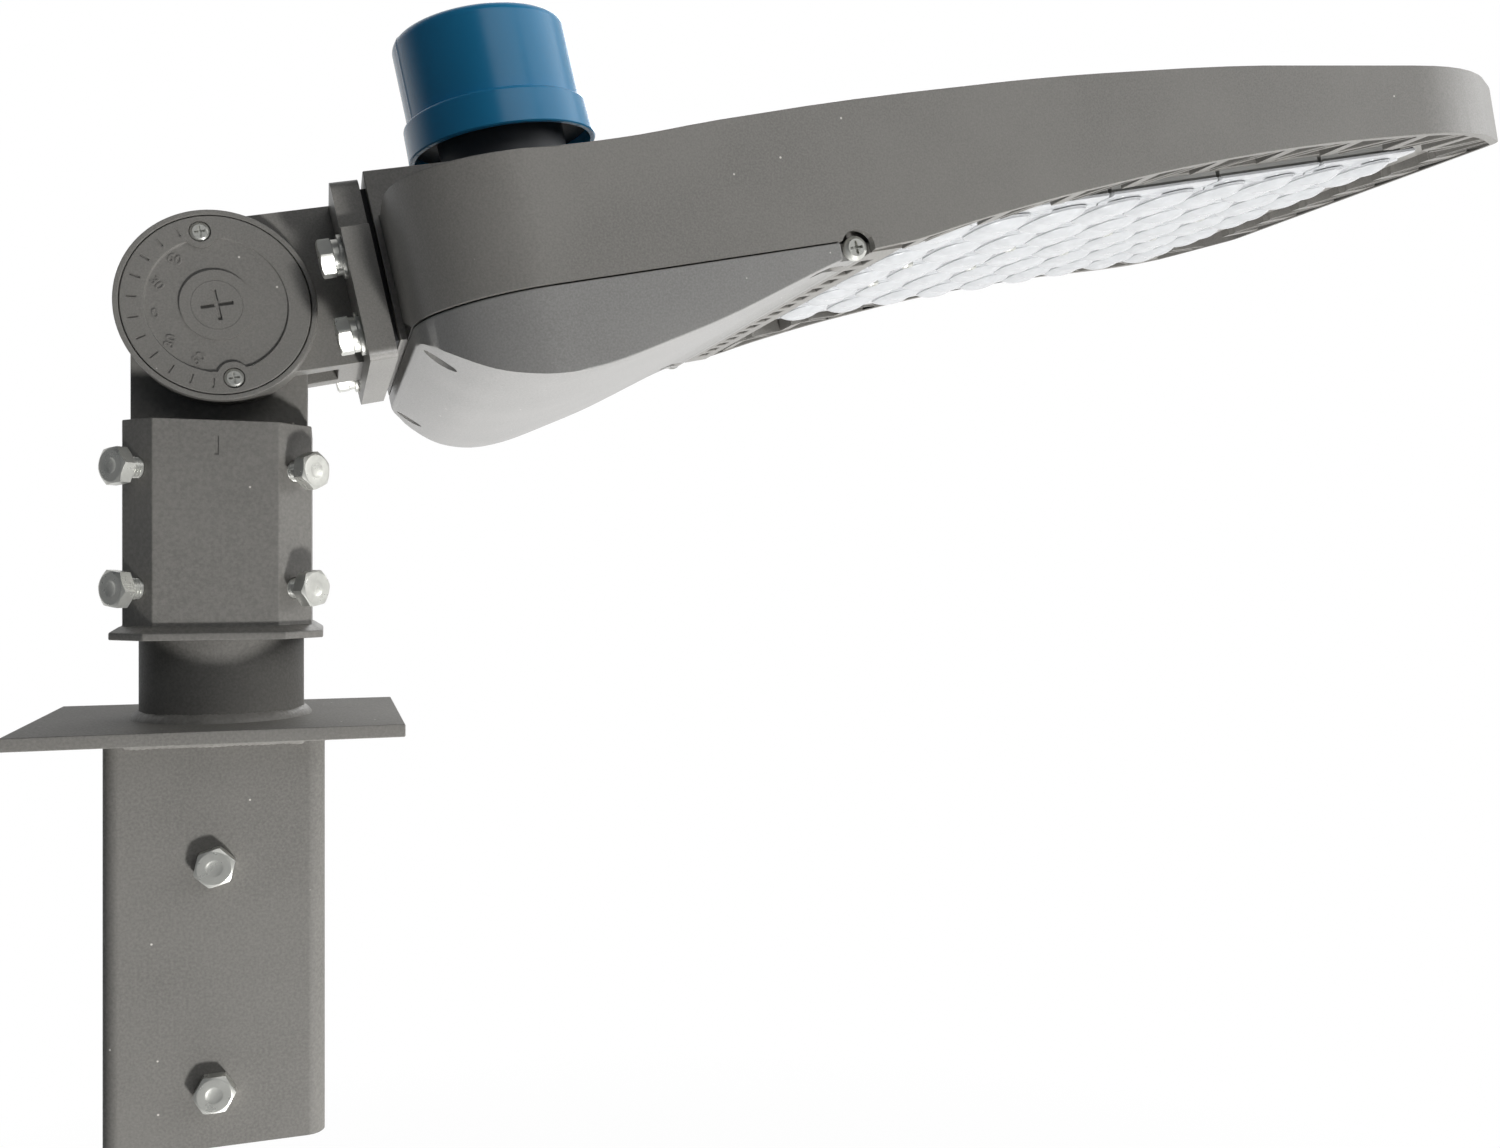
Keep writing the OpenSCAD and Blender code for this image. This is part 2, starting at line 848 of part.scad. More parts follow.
module flange_spring_washers() {
    color("silver")
        in_head()
            at_flange_bolts()
                translate([0, 0, -flat_t - spring_t])
                    difference() {
                        cylinder(r = spring_r, h = spring_t);
                        translate([0, 0, -1])
                            cylinder(r = bolt_r + 0.2, h = spring_t + 2);
                        rotate(70)
                            translate([3, -0.5, -1])
                                cube([6, 1, spring_t + 2]);
                    }
}

module flange_flat_washers() {
    color("silver")
        in_head()
            at_flange_bolts()
                translate([0, 0, -flat_t])
                    difference() {
                        cylinder(r = flat_r, h = flat_t);
                        translate([0, 0, -1])
                            cylinder(r = bolt_r + 0.3, h = flat_t + 2);
                    }
}

module flange_gasket() {
    color("black")
        in_head()
            difference() {
                span([flange_x1, -gasket_half_w, seam_z + 1], [pad_x0, gasket_half_w, gasket_top_z]);
                at_flange_bolts()
                    cylinder(r = flange_hole_r, h = 30);
                rod_x(flange_x1 - 1, 0, 0, wire_entry_r, gasket_t + 2);
            }
}

// ---- Lamp head -----------------------------------------------------------

// Side view of the housing's shell, from seam and rim up to the wall's top.
function shell_side() = concat(
    [[head_x0 - 4, seam_z]],
    [for (p = smooth(rim_top, 3)) [p[0] == 62 ? head_x0 - 4 : p[0], p[1]]],
    [[head_x1 + 6, nose_top_z], [head_x1 + 6, nose_rim_z]],
    [for (p = reverse(smooth(rim_bottom, 3))) if (p[0] > 232 && p[0] < head_x1) p],
    [[hinge_x + notch_r, -33.6], [hinge_x + notch_r, seam_z]]
);

// Side view of the hump over the driver compartment, moved in by d.
function hump_side(d) = [
    [head_x0 + d, roof_z - wall - d], [head_x0 + d, hump_z - d], [176 - 0.4 * d, hump_z - d],
    [216 - d, roof_z - d], [216 - d, roof_z - wall - d]
];

module compartment_roof() {
    intersection() {
        plan_prism(wall - 0.5);
        union() {
            span([head_x0 - 1, -head_half_w, bay_top_z], [cross_x1, head_half_w, roof_z]);
            across(hump_half_w, hump_side(0));
        }
    }
}

module seal_ledge() {
    intersection() {
        difference() {
            plan_prism(wall - 0.5);
            plan_prism(ledge_w);
        }
        span([head_x0, -head_half_w, door_top_z + seal_t + 0.2],
            [seal_x1 + 1, head_half_w, seam_z + 4]);
    }
}

// One cell of the lattice: a bar and two thin slanted fins between wall and deck.
// It starts at the origin and runs along +X, with the wall at +Y.
module lattice_cell() {
    w = lattice_w + 2;
    translate([-lattice_bar / 2, -w / 2, -40])
        cube([lattice_bar, w, 60]);
    for (k = [0, 1])
        translate([lattice_pitch * (0.4 + 0.22 * k), 0, -40])
            rotate(lattice_slant)
                translate([-w * 0.8, -lattice_fin / 2, 0])
                    cube([w * 1.6, lattice_fin, 60]);
}

module lattice() {
    intersection() {
        difference() {
            plan_prism(wall - 0.5);
            plan_prism(deck_in + 0.5);
        }
        across(head_half_w, rim_band(232, 0.8, 0));
        span([cross_x1 - 1, -head_half_w, -60], [head_x1, head_half_w, -4]);
        union() {
            both_sides()
                for (x = [248:lattice_pitch:side_end_x - lattice_pitch / 2])
                    translate([x, head_half_w - wall - lattice_w / 2, 0])
                        lattice_cell();
            both_sides()
                for (a = [3, 26])
                    translate([side_end_x, head_half_w - bend_r, 0])
                        rotate(-a)
                            translate([0, bend_r - wall - lattice_w / 2, 0])
                                lattice_cell();
            for (k = [-2:3])
                translate([head_x1 - wall - lattice_w / 2, (k - 0.5) * 28, 0])
                    rotate(-90)
                        lattice_cell();
        }
    }
}

module housing() {
    color("dimgray")
        in_head()
            difference() {
                union() {
                    // Side wall.
                    intersection() {
                        difference() {
                            plan_prism(0);
                            plan_prism(wall);
                        }
                        across(head_half_w + 2, shell_side());
                    }
                    compartment_roof();
                    seal_ledge();
                    // Rear mounting pad.
                    span([pad_x0, -hump_half_w, seam_z + fit_gap],
                        [head_x0 + wall, hump_half_w, hump_z]);
                    at_flange_bolts()
                        translate([0, 0, 14])
                            cylinder(r = 6, h = 22);
                    // Lamp deck, crossbar and bulkhead.
                    intersection() {
                        plan_prism(deck_in);
                        span([cross_x1 - 1, -head_half_w, deck_z],
                            [head_x1, head_half_w, deck_z + deck_t]);
                    }
                    intersection() {
                        plan_prism(wall - 0.5);
                        union() {
                            span([cross_x1 - bulkhead_t, -head_half_w, -30],
                                [cross_x1, head_half_w, roof_z]);
                            span([cross_x0, -head_half_w, -34], [cross_x1, head_half_w, -31]);
                        }
                    }
                    lattice();
                    // Hinge lugs of the door.
                    both_sides() {
                        rod_y(hinge_x, lug_y0, hinge_z, barrel_r, ear_y0 - lug_y0 - fit_gap);
                        span([hinge_x, lug_y0, hinge_z],
                            [cross_x0 + 1, ear_y0 - fit_gap, hinge_z + barrel_r]);
                        span([hinge_x - 4, lug_y0, hinge_z + barrel_r - 0.5],
                            [cross_x1 - 1, ear_y0 - fit_gap, hinge_z + barrel_r + 5]);
                    }
                    // Bosses: door screws, driver and socket screws.
                    both_sides()
                        translate([door_screw_x, door_screw_y, door_top_z + seal_t + 0.2])
                            cylinder(r = 6, h = roof_z - door_top_z - 3);
                    at_driver_screws()
                        translate([0, 0, driver_ear_t + fit_gap])
                            cylinder(r = 4.5, h = roof_z - driver_z0 - 5);
                }
                // Hollow of the hump.
                across(hump_half_w - wall, hump_side(wall));
                at_flange_bolts()
                    cylinder(r = bolt_r + hole_clear, h = 34);
                rod_x(pad_x0 - 1, 0, 0, wire_entry_r, 12);
                // Socket opening and its two screw holes.
                translate([socket_x, 0, 0])
                    cylinder(r = socket_r - 1, h = hump_z + 1);
                for (s = [-1, 1])
                    translate([socket_x, s * socket_screw_y, 10])
                        cylinder(r = socket_screw_r + hole_clear, h = hump_z);
                // U notches at the hinge screws.
                both_sides() {
                    rod_y(hinge_x + 0.6, head_half_w - wall - 1, hinge_z, notch_r, wall + 2);
                    span([hinge_x + 0.6 - notch_r, head_half_w - wall - 1, hinge_z - 6],
                        [hinge_x + 0.6 + notch_r, head_half_w + 1, hinge_z]);
                    rod_y(hinge_x, lug_y0 - 1, hinge_z, hinge_screw_r + hole_clear, 20);
                }
                // Vent slots in the crossbar.
                for (i = [0:vent_n - 1])
                    translate([cross_x0 + 3, (i - (vent_n - 1) / 2) * vent_pitch - vent_l / 2, -40])
                        cube([vent_w, vent_l, 12]);
                both_sides()
                    translate([door_screw_x, door_screw_y, -40])
                        cylinder(r = door_screw_r + door_thread_gap, h = 40);
                at_driver_screws()
                    translate([0, 0, -4])
                        cylinder(r = driver_screw_r + hole_clear, h = 24);
                // Breather hole in the bulkhead.
                rod_x(cross_x1 - bulkhead_t - 1, breather_y, breather_z, breather_r + hole_clear,
                    bulkhead_t + 2);
                // Holes of the lens screws.
                at_lens_screws()
                    translate([0, 0, -1])
                        cylinder(r = lens_screw_r + hole_clear, h = deck_t + 2);
            }
}

// Side view of the fins' tops, a little under the rim.
function fin_tops() = [
    for (p = smooth(rim_top, 3))
        if (p[0] > cross_x1 + 20 && p[0] < head_x1 - 30)
            [p[0], p[1] - 3]
];

module heat_sink_fins() {
    n = floor((head_half_w - deck_in - 6) / fin_pitch);
    color("dimgray")
        in_head()
            intersection() {
                plan_prism(deck_in + 2);
                across(head_half_w, concat(
                    [[cross_x1 + 0.2, deck_z + deck_t]],
                    fin_tops(),
                    [[head_x1 - 20, deck_z + deck_t]]
                ));
                union() {
                    for (i = [-n:n])
                        translate([cross_x1, i * fin_pitch - fin_t / 2, deck_z])
                            cube([head_x1 - cross_x1, fin_t, 60]);
                    span([cross_x1, -head_half_w, deck_z],
                        [head_x1, head_half_w, deck_z + deck_t + 2]);
                }
            }
}

// ---- Compartment door ----------------------------------------------------

// Side view of the door, moved in by d from the belly.
function door_side(d) = concat(
    [[head_x0 - 2, d > 0 ? 20 : door_top_z], [head_x0 - 2, -30]],
    [for (p = smooth(belly, 4)) [p[0], p[1] + d]],
    [[hinge_x - 6, -35.6 + d], [hinge_x - 6, d > 0 ? 20 : door_top_z]]
);

module compartment_door() {
    color("gainsboro")
        in_head()
            difference() {
                union() {
                    // Shell.
                    difference() {
                        intersection() {
                            plan_prism(0);
                            across(head_half_w + 2, door_side(0));
                        }
                        intersection() {
                            plan_prism(door_wall);
                            across(head_half_w + 2, door_side(door_wall + 0.3));
                            span([0, -head_half_w, -80], [hinge_x - 9, head_half_w, 40]);
                        }
                    }
                    // Inner flange that carries the gasket.
                    intersection() {
                        difference() {
                            plan_prism(door_wall - 0.5);
                            plan_prism(ledge_w);
                        }
                        across(head_half_w, door_side(0));
                        span([0, -head_half_w, door_top_z - door_flange_t],
                            [seal_x1 + 1, head_half_w, door_top_z]);
                    }
                    // Hinge barrel, joined to the front edge.
                    rod_y(hinge_x, -ear_y1, hinge_z, barrel_r, 2 * ear_y1);
                    span([hinge_x - 8, -ear_y1, -35.6], [hinge_x, ear_y1, door_top_z]);
                    // Pillars for the captive screws.
                    both_sides()
                        intersection() {
                            translate([door_screw_x, door_screw_y, -58])
                                cylinder(r = door_well_r + 2.5, h = 58 + door_top_z);
                            across(head_half_w, door_side(0));
                            plan_prism(1);
                        }
                }
                // Room for the hinge lugs, and the screw holes.
                both_sides() {
                    span([hinge_x - 12, lug_y0 - fit_gap, -45], [hinge_x + 6, ear_y0, 0]);
                    rod_y(hinge_x, ear_y0 - 1, hinge_z, hinge_screw_r + run_gap, 20);
                }
                // Wells of the captive screws.
                both_sides() {
                    translate([door_screw_x, door_screw_y, -80])
                        cylinder(r = door_well_r, h = 80 + door_top_z - door_well_floor);
                    translate([door_screw_x, door_screw_y, -60])
                        cylinder(r = door_screw_r + hole_clear, h = 60);
                }
            }
}

module door_gasket() {
    color("black")
        in_head()
            intersection() {
                difference() {
                    plan_prism(seal_in);
                    plan_prism(seal_in + seal_w);
                }
                span([0, -head_half_w, door_top_z], [seal_x1, head_half_w, door_top_z + seal_t]);
            }
}

module door_screws() {
    color("silver")
        in_head()
            both_sides()
                translate([door_screw_x, door_screw_y, door_top_z - door_well_floor - door_head_h])
                    rotate([180, 0, 0])
                        pan_screw(door_head_r, door_head_h, door_screw_r, door_screw_len);
}

module door_hinge_screws() {
    color("silver")
        in_head()
            both_sides()
                translate([hinge_x, head_half_w - hinge_head_in, hinge_z])
                    rotate([-90, 0, 0])
                        pan_screw(hinge_head_r, hinge_head_h, hinge_screw_r,
                            head_half_w - hinge_head_in - lug_y0);
}

// ---- Inside the compartment ----------------------------------------------

// Places something at each driver screw: origin on the underside of the driver's ears.
module at_driver_screws() {
    for (x = [driver_x0 + driver_screw_in, driver_x1 - driver_screw_in], s = [-1, 1])
        translate([x, s * driver_screw_y, driver_z0])
            children();
}

module led_driver() {
    color("lightgray")
        in_head()
            difference() {
                union() {
                    span([driver_x0, -driver_y, driver_z0], [driver_x1, driver_y, driver_z1]);
                    span([driver_x0, -driver_y - driver_ear_w, driver_z0],
                        [driver_x1, driver_y + driver_ear_w, driver_z0 + driver_ear_t]);
                }
                at_driver_screws()
                    translate([0, 0, -1])
                        cylinder(r = driver_screw_r + hole_clear, h = driver_ear_t + 2);
            }
}

module driver_screws() {
    color("silver")
        in_head()
            at_driver_screws()
                translate([0, 0, -driver_head_h])
                    rotate([180, 0, 0])
                        pan_screw(driver_head_r, driver_head_h, driver_screw_r, driver_screw_len);
}

module surge_protector() {
    color("royalblue")
        in_head()
            span([surge_x0, -surge_y1, surge_z0], [surge_x1, -surge_y0, bay_top_z]);
}

module terminal_block() {
    color("ivory")
        in_head()
            difference() {
                span([terminal_x0, terminal_y0, terminal_z0], [terminal_x1, terminal_y1, bay_top_z]);
                for (i = [0:2])
                    translate([terminal_x0 + (i + 0.5) * terminal_pitch,
                            (terminal_y0 + terminal_y1) / 2, terminal_z0 - 1])
                        cylinder(r = terminal_hole_r, h = 9);
            }
}

// ---- Photocell socket and cap --------------------------------------------

module socket_gasket() {
    color("black")
        in_head()
            translate([socket_x, 0, hump_z])
                difference() {
                    cylinder(r = socket_flange_r, h = socket_gasket_t);
                    translate([0, 0, -1])
                        cylinder(r = socket_r - 0.5, h = socket_gasket_t + 2);
                    for (s = [-1, 1])
                        translate([0, s * socket_screw_y, -1])
                            cylinder(r = socket_screw_r + 0.2, h = socket_gasket_t + 2);
                }
}

// Curved slots of the three contacts; the blades turn in them.
module blade_slots(depth) {
    for (a = [0, 120, 240])
        rotate(a)
            translate([0, 0, -depth])
                rotate_extrude(angle = blade_w + twist + 5)
                    translate([blade_ring_r - blade_t / 2 - fit_gap, 0])
                        square([blade_t + 2 * fit_gap, depth + 1]);
}

module photocell_socket() {
    color("darkslategray")
        in_head()
            translate([socket_x, 0, 0])
                difference() {
                    union() {
                        translate([0, 0, socket_z0])
                            cylinder(r = socket_flange_r, h = socket_flange_t);
                        translate([0, 0, socket_z0])
                            cylinder(r = socket_r, h = socket_top_z - socket_z0);
                        translate([0, 0, hump_z - 12])
                            cylinder(r = socket_r - 1.4, h = 14);
                    }
                    translate([0, 0, socket_top_z])
                        rotate(-2.5)
                            blade_slots(blade_len + 3);
                    translate([0, 0, hump_z - 13])
                        cylinder(r = socket_r - 4, h = 16);
                    for (s = [-1, 1])
                        translate([0, s * socket_screw_y, hump_z])
                            cylinder(r = socket_screw_r + hole_clear, h = 12);
                }
}

module socket_contacts() {
    color("gold")
        in_head()
            translate([socket_x, 0, hump_z + 3])
                for (a = [0, 120, 240])
                    rotate(a + 8)
                        translate([blade_ring_r + 1, -3, -10])
                            cube([0.8, 6, 10]);
}

module socket_screws() {
    color("silver")
        in_head()
            for (s = [-1, 1])
                translate([socket_x, s * socket_screw_y, socket_z0 + socket_flange_t + socket_head_h])
                    pan_screw(socket_head_r, socket_head_h, socket_screw_r, socket_screw_len);
}

module shorting_cap() {
    edge_r = 4;
    ring_r = cap_ring_d / 2;
    top_r = cap_d / 2;
    color("steelblue")
        in_head()
            translate([socket_x, 0, cap_z0])
                rotate_extrude()
                    polygon(concat(
                        [[ring_r - cap_skin, 0], [ring_r, 0], [ring_r, cap_ring_h - 0.6],
                            [ring_r - 0.6, cap_ring_h], [top_r + 0.4, cap_ring_h]],
                        arc(top_r - edge_r, cap_h - edge_r, edge_r, 0, 90, 6),
                        [[0, cap_h], [0, cap_h - cap_skin], [top_r - cap_skin - 2, cap_h - cap_skin],
                            [top_r - cap_skin - 1, cap_ring_h - cap_skin],
                            [ring_r - cap_skin, cap_ring_h - cap_skin]]
                    ));
}

module cap_base() {
    color("black")
        in_head()
            translate([socket_x, 0, cap_base_z])
                cylinder(r = cap_ring_d / 2 - cap_skin - cap_seat,
                    h = cap_z0 + cap_ring_h - cap_skin - cap_seat - cap_base_z);
}

module cap_blades() {
    color("gold")
        in_head()
            translate([socket_x, 0, socket_top_z + fit_gap - blade_len])
                for (a = [0, 120, 240])
                    rotate(a)
                        rotate_extrude(angle = blade_w)
                            translate([blade_ring_r - blade_t / 2, 0])
                                square([blade_t, blade_len]);
}

// ---- Lamp modules --------------------------------------------------------

function module_x(i) = module_x0 + i * module_l;

// Places something at each lens dome.
module at_domes() {
    for (i = [0:module_n - 1], k = [0, 1], j = [0:dome_n - 1])
        translate([module_x(i) + dome_pitch_x * (k + 0.5), (j - (dome_n - 1) / 2) * dome_pitch_y, 0])
            children();
}

// Places something at each lens screw: origin on the deck's underside.
module at_lens_screws() {
    for (i = [0:module_n], s = [-1, 1])
        translate([module_x(i) + (i == 0 ? 4 : i == module_n ? -4 : 0), s * dome_pitch_y / 2, deck_z])
            children();
}

module led_boards() {
    color("white")
        in_head()
            for (i = [0:module_n - 1])
                span([module_x(i) + 7.5, -module_half_w + 5, board_z],
                    [module_x(i + 1) - 7.5, module_half_w - 5, deck_z]);
}

module led_chips() {
    color("khaki")
        in_head()
            at_domes()
                translate([-2.5, -2.5, board_z - chip_t])
                    cube([5, 5, chip_t]);
}

module lens_modules() {
    sphere_r = (dome_r * dome_r + dome_h * dome_h) / (2 * dome_h);
    color("aliceblue")
        in_head()
            difference() {
                union() {
                    for (i = [0:module_n - 1])
                        span([module_x(i) + module_gap / 2, -module_half_w, lens_z],
                            [module_x(i + 1) - module_gap / 2, module_half_w, lens_z + lens_t]);
                    intersection() {
                        at_domes()
                            translate([0, 0, lens_z + sphere_r - dome_h])
                                sphere(r = sphere_r);
                        span([module_x0, -module_half_w, lens_z - dome_h - 1],
                            [module_x(module_n), module_half_w, lens_z + lens_t / 2]);
                    }
                }
                at_lens_screws()
                    translate([0, 0, -20])
                        cylinder(r = lens_screw_r + 0.3, h = 20);
            }
}

module lens_gaskets() {
    color("gray")
        in_head()
            for (i = [0:module_n - 1])
                difference() {
                    span([module_x(i) + 1, -module_half_w + 1, lens_z + lens_t],
                        [module_x(i + 1) - 1, module_half_w - 1, deck_z]);
                    span([module_x(i) + 7, -module_half_w + 4, lens_z],
                        [module_x(i + 1) - 7, module_half_w - 4, deck_z + 1]);
                    at_lens_screws()
                        translate([0, 0, -20])
                            cylinder(r = 2.4, h = 21);
                }
}

module lens_screws() {
    color("silver")
        in_head()
            at_lens_screws()
                translate([0, 0, lens_z - deck_z - lens_head_h])
                    rotate([180, 0, 0])
                        pan_screw(lens_head_r, lens_head_h, lens_screw_r, 9);
}

module breather_plug() {
    color("black")
        in_head()
            union() {
                rod_x(cross_x1 - bulkhead_t - 4, breather_y, breather_z, breather_r, bulkhead_t + 5);
                rod_x(cross_x1 - bulkhead_t - 6, breather_y, breather_z, breather_r + 2, 5.8);
            }
}

insert_tube();
cap_plate();
tenon();
weld_fillets();
insert_bolts();
insert_weld_nuts();
slip_fitter();
set_bolts();
knuckle_arm();
knuckle_bolt();
knuckle_nut();
knuckle_washers();
dial_cover();
dial_cover_screws();
dial_plug();
back_cover();
back_cover_screws();
back_plug();
flange_bolts();
flange_spring_washers();
flange_flat_washers();
flange_gasket();
housing();
heat_sink_fins();
compartment_door();
door_gasket();
door_screws();
door_hinge_screws();
led_driver();
driver_screws();
surge_protector();
terminal_block();
socket_gasket();
photocell_socket();
socket_contacts();
socket_screws();
shorting_cap();
cap_base();
cap_blades();
led_boards();
led_chips();
lens_modules();
lens_gaskets();
lens_screws();
breather_plug();
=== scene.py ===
"""The looks of an LED area light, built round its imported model.

Lengths inside the builders are millimetres. Two places are used: POLE is the row frame, and
HEAD is the lamp head's own level frame, tilted about the knuckle bolt.
"""

import json
import math

import bmesh
import bpy
from mathutils import Matrix, Vector, noise


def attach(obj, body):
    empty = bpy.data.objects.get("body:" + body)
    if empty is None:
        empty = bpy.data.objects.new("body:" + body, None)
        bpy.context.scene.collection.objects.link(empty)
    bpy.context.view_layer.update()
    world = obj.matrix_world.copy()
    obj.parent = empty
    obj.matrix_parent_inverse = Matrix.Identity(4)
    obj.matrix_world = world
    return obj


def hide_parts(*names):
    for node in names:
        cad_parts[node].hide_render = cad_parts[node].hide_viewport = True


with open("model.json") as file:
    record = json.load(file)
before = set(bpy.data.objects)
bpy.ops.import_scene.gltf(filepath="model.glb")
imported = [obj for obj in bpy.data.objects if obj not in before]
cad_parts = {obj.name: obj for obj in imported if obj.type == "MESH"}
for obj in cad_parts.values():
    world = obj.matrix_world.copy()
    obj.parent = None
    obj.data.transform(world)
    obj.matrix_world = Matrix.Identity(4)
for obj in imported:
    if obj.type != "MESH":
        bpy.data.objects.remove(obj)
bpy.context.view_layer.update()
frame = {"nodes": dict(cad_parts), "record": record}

MM = 0.001
TILT = math.radians(12.5)
PIVOT_Z = 160.8
POLE = Matrix.Scale(MM, 4)
HEAD = POLE @ Matrix.Translation((0, 0, PIVOT_Z)) @ Matrix.Rotation(-TILT, 4, "Y")

SLOT_OF = {s["node"]: s["material_slot"] for s in frame["record"]["subparts"]}
BODY_OF = {n: b for b, nodes in frame["record"]["behaviour"]["bodies"].items() for n in nodes}


# ---- Materials -----------------------------------------------------------------------

STAIN_SHADE = 0.72
MOULDED_SHADE = 0.85


class Shader:
    """A material with a few helpers to wire its nodes. Textures use the object's own metres."""

    def __init__(self, name):
        self.material = bpy.data.materials.new(name)
        self.material.use_nodes = True
        self.tree = self.material.node_tree
        self.bsdf = self.tree.nodes["Principled BSDF"]
        self.place = self.tree.nodes.new("ShaderNodeTexCoord").outputs["Object"]

    def node(self, kind, **values):
        made = self.tree.nodes.new("ShaderNode" + kind)
        for key, value in values.items():
            if hasattr(made, key):
                setattr(made, key, value)
            else:
                made.inputs[key.replace("_", " ")].default_value = value
        return made

    def link(self, a, b):
        self.tree.links.new(a, b)

    def scaled(self, factors):
        """The place, stretched along its axes."""
        made = self.node("Mapping")
        made.inputs["Scale"].default_value = factors
        self.link(self.place, made.inputs["Vector"])
        return made.outputs["Vector"]

    def noise(self, size_mm, detail=2.0, roughness=0.5, place=None):
        """Noise with blobs of about the given size."""
        made = self.node("TexNoise", Scale=1000 / size_mm, Detail=detail, Roughness=roughness)
        self.link(place or self.place, made.inputs["Vector"])
        return made.outputs["Fac"]

    def cells(self, size_mm):
        """Distance to scattered points that are about the given size apart."""
        made = self.node("TexVoronoi", Scale=1000 / size_mm)
        self.link(self.place, made.inputs["Vector"])
        return made.outputs["Distance"]

    def ramp(self, value, low, high, a, b):
        """value from low to high, turned into a to b."""
        made = self.node("MapRange")
        made.inputs["From Min"].default_value = low
        made.inputs["From Max"].default_value = high
        made.inputs["To Min"].default_value = a
        made.inputs["To Max"].default_value = b
        self.link(value, made.inputs["Value"])
        return made.outputs["Result"]

    def blend(self, amount, a, b):
        """Colour a where amount is 0 and colour b where it is 1."""
        made = self.node("Mix", data_type="RGBA")
        self.link(amount, made.inputs["Factor"])
        for socket, value in (("A", a), ("B", b)):
            place = [i for i in made.inputs if i.name == socket and i.type == "RGBA"][0]
            if isinstance(value, bpy.types.NodeSocket):
                self.link(value, place)
            else:
                place.default_value = (*value, 1)
        return [o for o in made.outputs if o.type == "RGBA"][0]

    def bump(self, height, depth_mm, strength, before=None):
        """A bumpy normal from a height value."""
        made = self.node("Bump", Strength=strength, Distance=depth_mm * MM)
        self.link(height, made.inputs["Height"])
        if before is not None:
            self.link(before, made.inputs["Normal"])
        return made.outputs["Normal"]

    def set(self, **values):
        """Numbers and colours for the shader's own sockets, or links to them."""
        for key, value in values.items():
            socket = self.bsdf.inputs[key.replace("_", " ")]
            if isinstance(value, bpy.types.NodeSocket):
                self.link(value, socket)
            elif isinstance(value, tuple):
                socket.default_value = (*value, 1)
            else:
                socket.default_value = value
        return self.material


def grey(value, warm=0.0):
    """A linear grey from a display value out of 255, a little warmer where asked."""
    level = ((value / 255 + 0.055) / 1.055) ** 2.4
    return (level * (1 + warm), level, level * (1 - 2 * warm))


def coat_material(name, tone, peel_mm=0.9, peel_depth=0.05, warm=0.04, rough=0.46, shine=0.5):
    """Textured powder coat: an orange-peel bump, mottled tone and a few light specks."""
    s = Shader(name)
    peel = s.noise(peel_mm, detail=3.0, roughness=0.6)
    broad = s.noise(45, detail=2.0)
    base = s.blend(s.ramp(peel, 0.35, 0.68, 0, 1), grey(tone * 0.93, warm), grey(tone * 1.06, warm))
    base = s.blend(s.ramp(broad, 0.35, 0.7, 0, 0.35), base, grey(tone * 1.12, warm))
    specks = s.ramp(s.cells(16), 0.018, 0.03, 1, 0)
    base = s.blend(specks, base, grey(min(235, tone * 1.75), warm))
    bump = s.bump(peel, peel_depth, 0.55)
    bump = s.bump(s.noise(7, detail=1.0), 0.05, 0.25, bump)
    s.set(Base_Color=base, Normal=bump, Specular_IOR_Level=shine)
    return s.set(Roughness=s.ramp(peel, 0.3, 0.7, rough + 0.05, rough - 0.05))


def steel_material(name, tone, rough, tint=(1.0, 0.99, 0.96), metal=1.0):
    """Plain stainless: fine drawn lines and slightly uneven gloss."""
    s = Shader(name)
    lines = s.noise(0.35, detail=2.0, place=s.scaled((1, 1, 0.2)))
    stain = s.noise(4, detail=3.0)
    level = grey(tone)[0]
    light = tuple(level * t for t in tint)
    dark = tuple(level * STAIN_SHADE * t for t in tint)
    s.set(Base_Color=s.blend(s.ramp(stain, 0.4, 0.75, 0, 0.6), light, dark), Metallic=metal)
    s.set(Normal=s.bump(lines, 0.01, 0.5))
    return s.set(Roughness=s.ramp(stain, 0.3, 0.7, rough - 0.06, rough + 0.1))


def moulded_material(name, colour, rough, grain_mm=0.8):
    """Moulded plastic or rubber with a fine grain and a slow change of tone."""
    s = Shader(name)
    grain = s.noise(grain_mm, detail=2.0)
    broad = s.noise(25, detail=2.0)
    dark = tuple(c * MOULDED_SHADE for c in colour)
    s.set(Base_Color=s.blend(s.ramp(broad, 0.35, 0.7, 0, 1), colour, dark))
    s.set(Normal=s.bump(grain, 0.01, 0.5))
    return s.set(Roughness=s.ramp(grain, 0.3, 0.7, rough - 0.04, rough + 0.06))


def blue_material():
    """Glossy blue moulded plastic with a very slight flow ripple."""
    s = Shader("blue_gloss")
    flow = s.noise(30, detail=2.0, place=s.scaled((1, 1, 0.35)))
    fine = s.noise(0.6, detail=2.0)
    s.set(Base_Color=s.blend(s.ramp(flow, 0.3, 0.7, 0, 1), (0.02, 0.34, 0.68), (0.026, 0.38, 0.74)))
    ripple = s.bump(flow, 0.25, 0.18)
    s.set(Normal=s.bump(fine, 0.006, 0.3, ripple), Specular_IOR_Level=0.5)
    return s.set(Roughness=s.ramp(fine, 0.3, 0.7, 0.2, 0.26))


def lens_material():
    """Clear optical plastic, slightly milky."""
    s = Shader("lens_clear")
    haze = s.noise(6, detail=3.0)
    fine = s.noise(1.2, detail=2.0)
    s.set(Base_Color=s.blend(s.ramp(haze, 0.35, 0.7, 0, 1), (0.57, 0.58, 0.59), (0.64, 0.65, 0.66)))
    s.set(Normal=s.bump(fine, 0.02, 0.3), Transmission_Weight=0.2, IOR=1.49)
    return s.set(Roughness=s.ramp(haze, 0.3, 0.7, 0.08, 0.2))


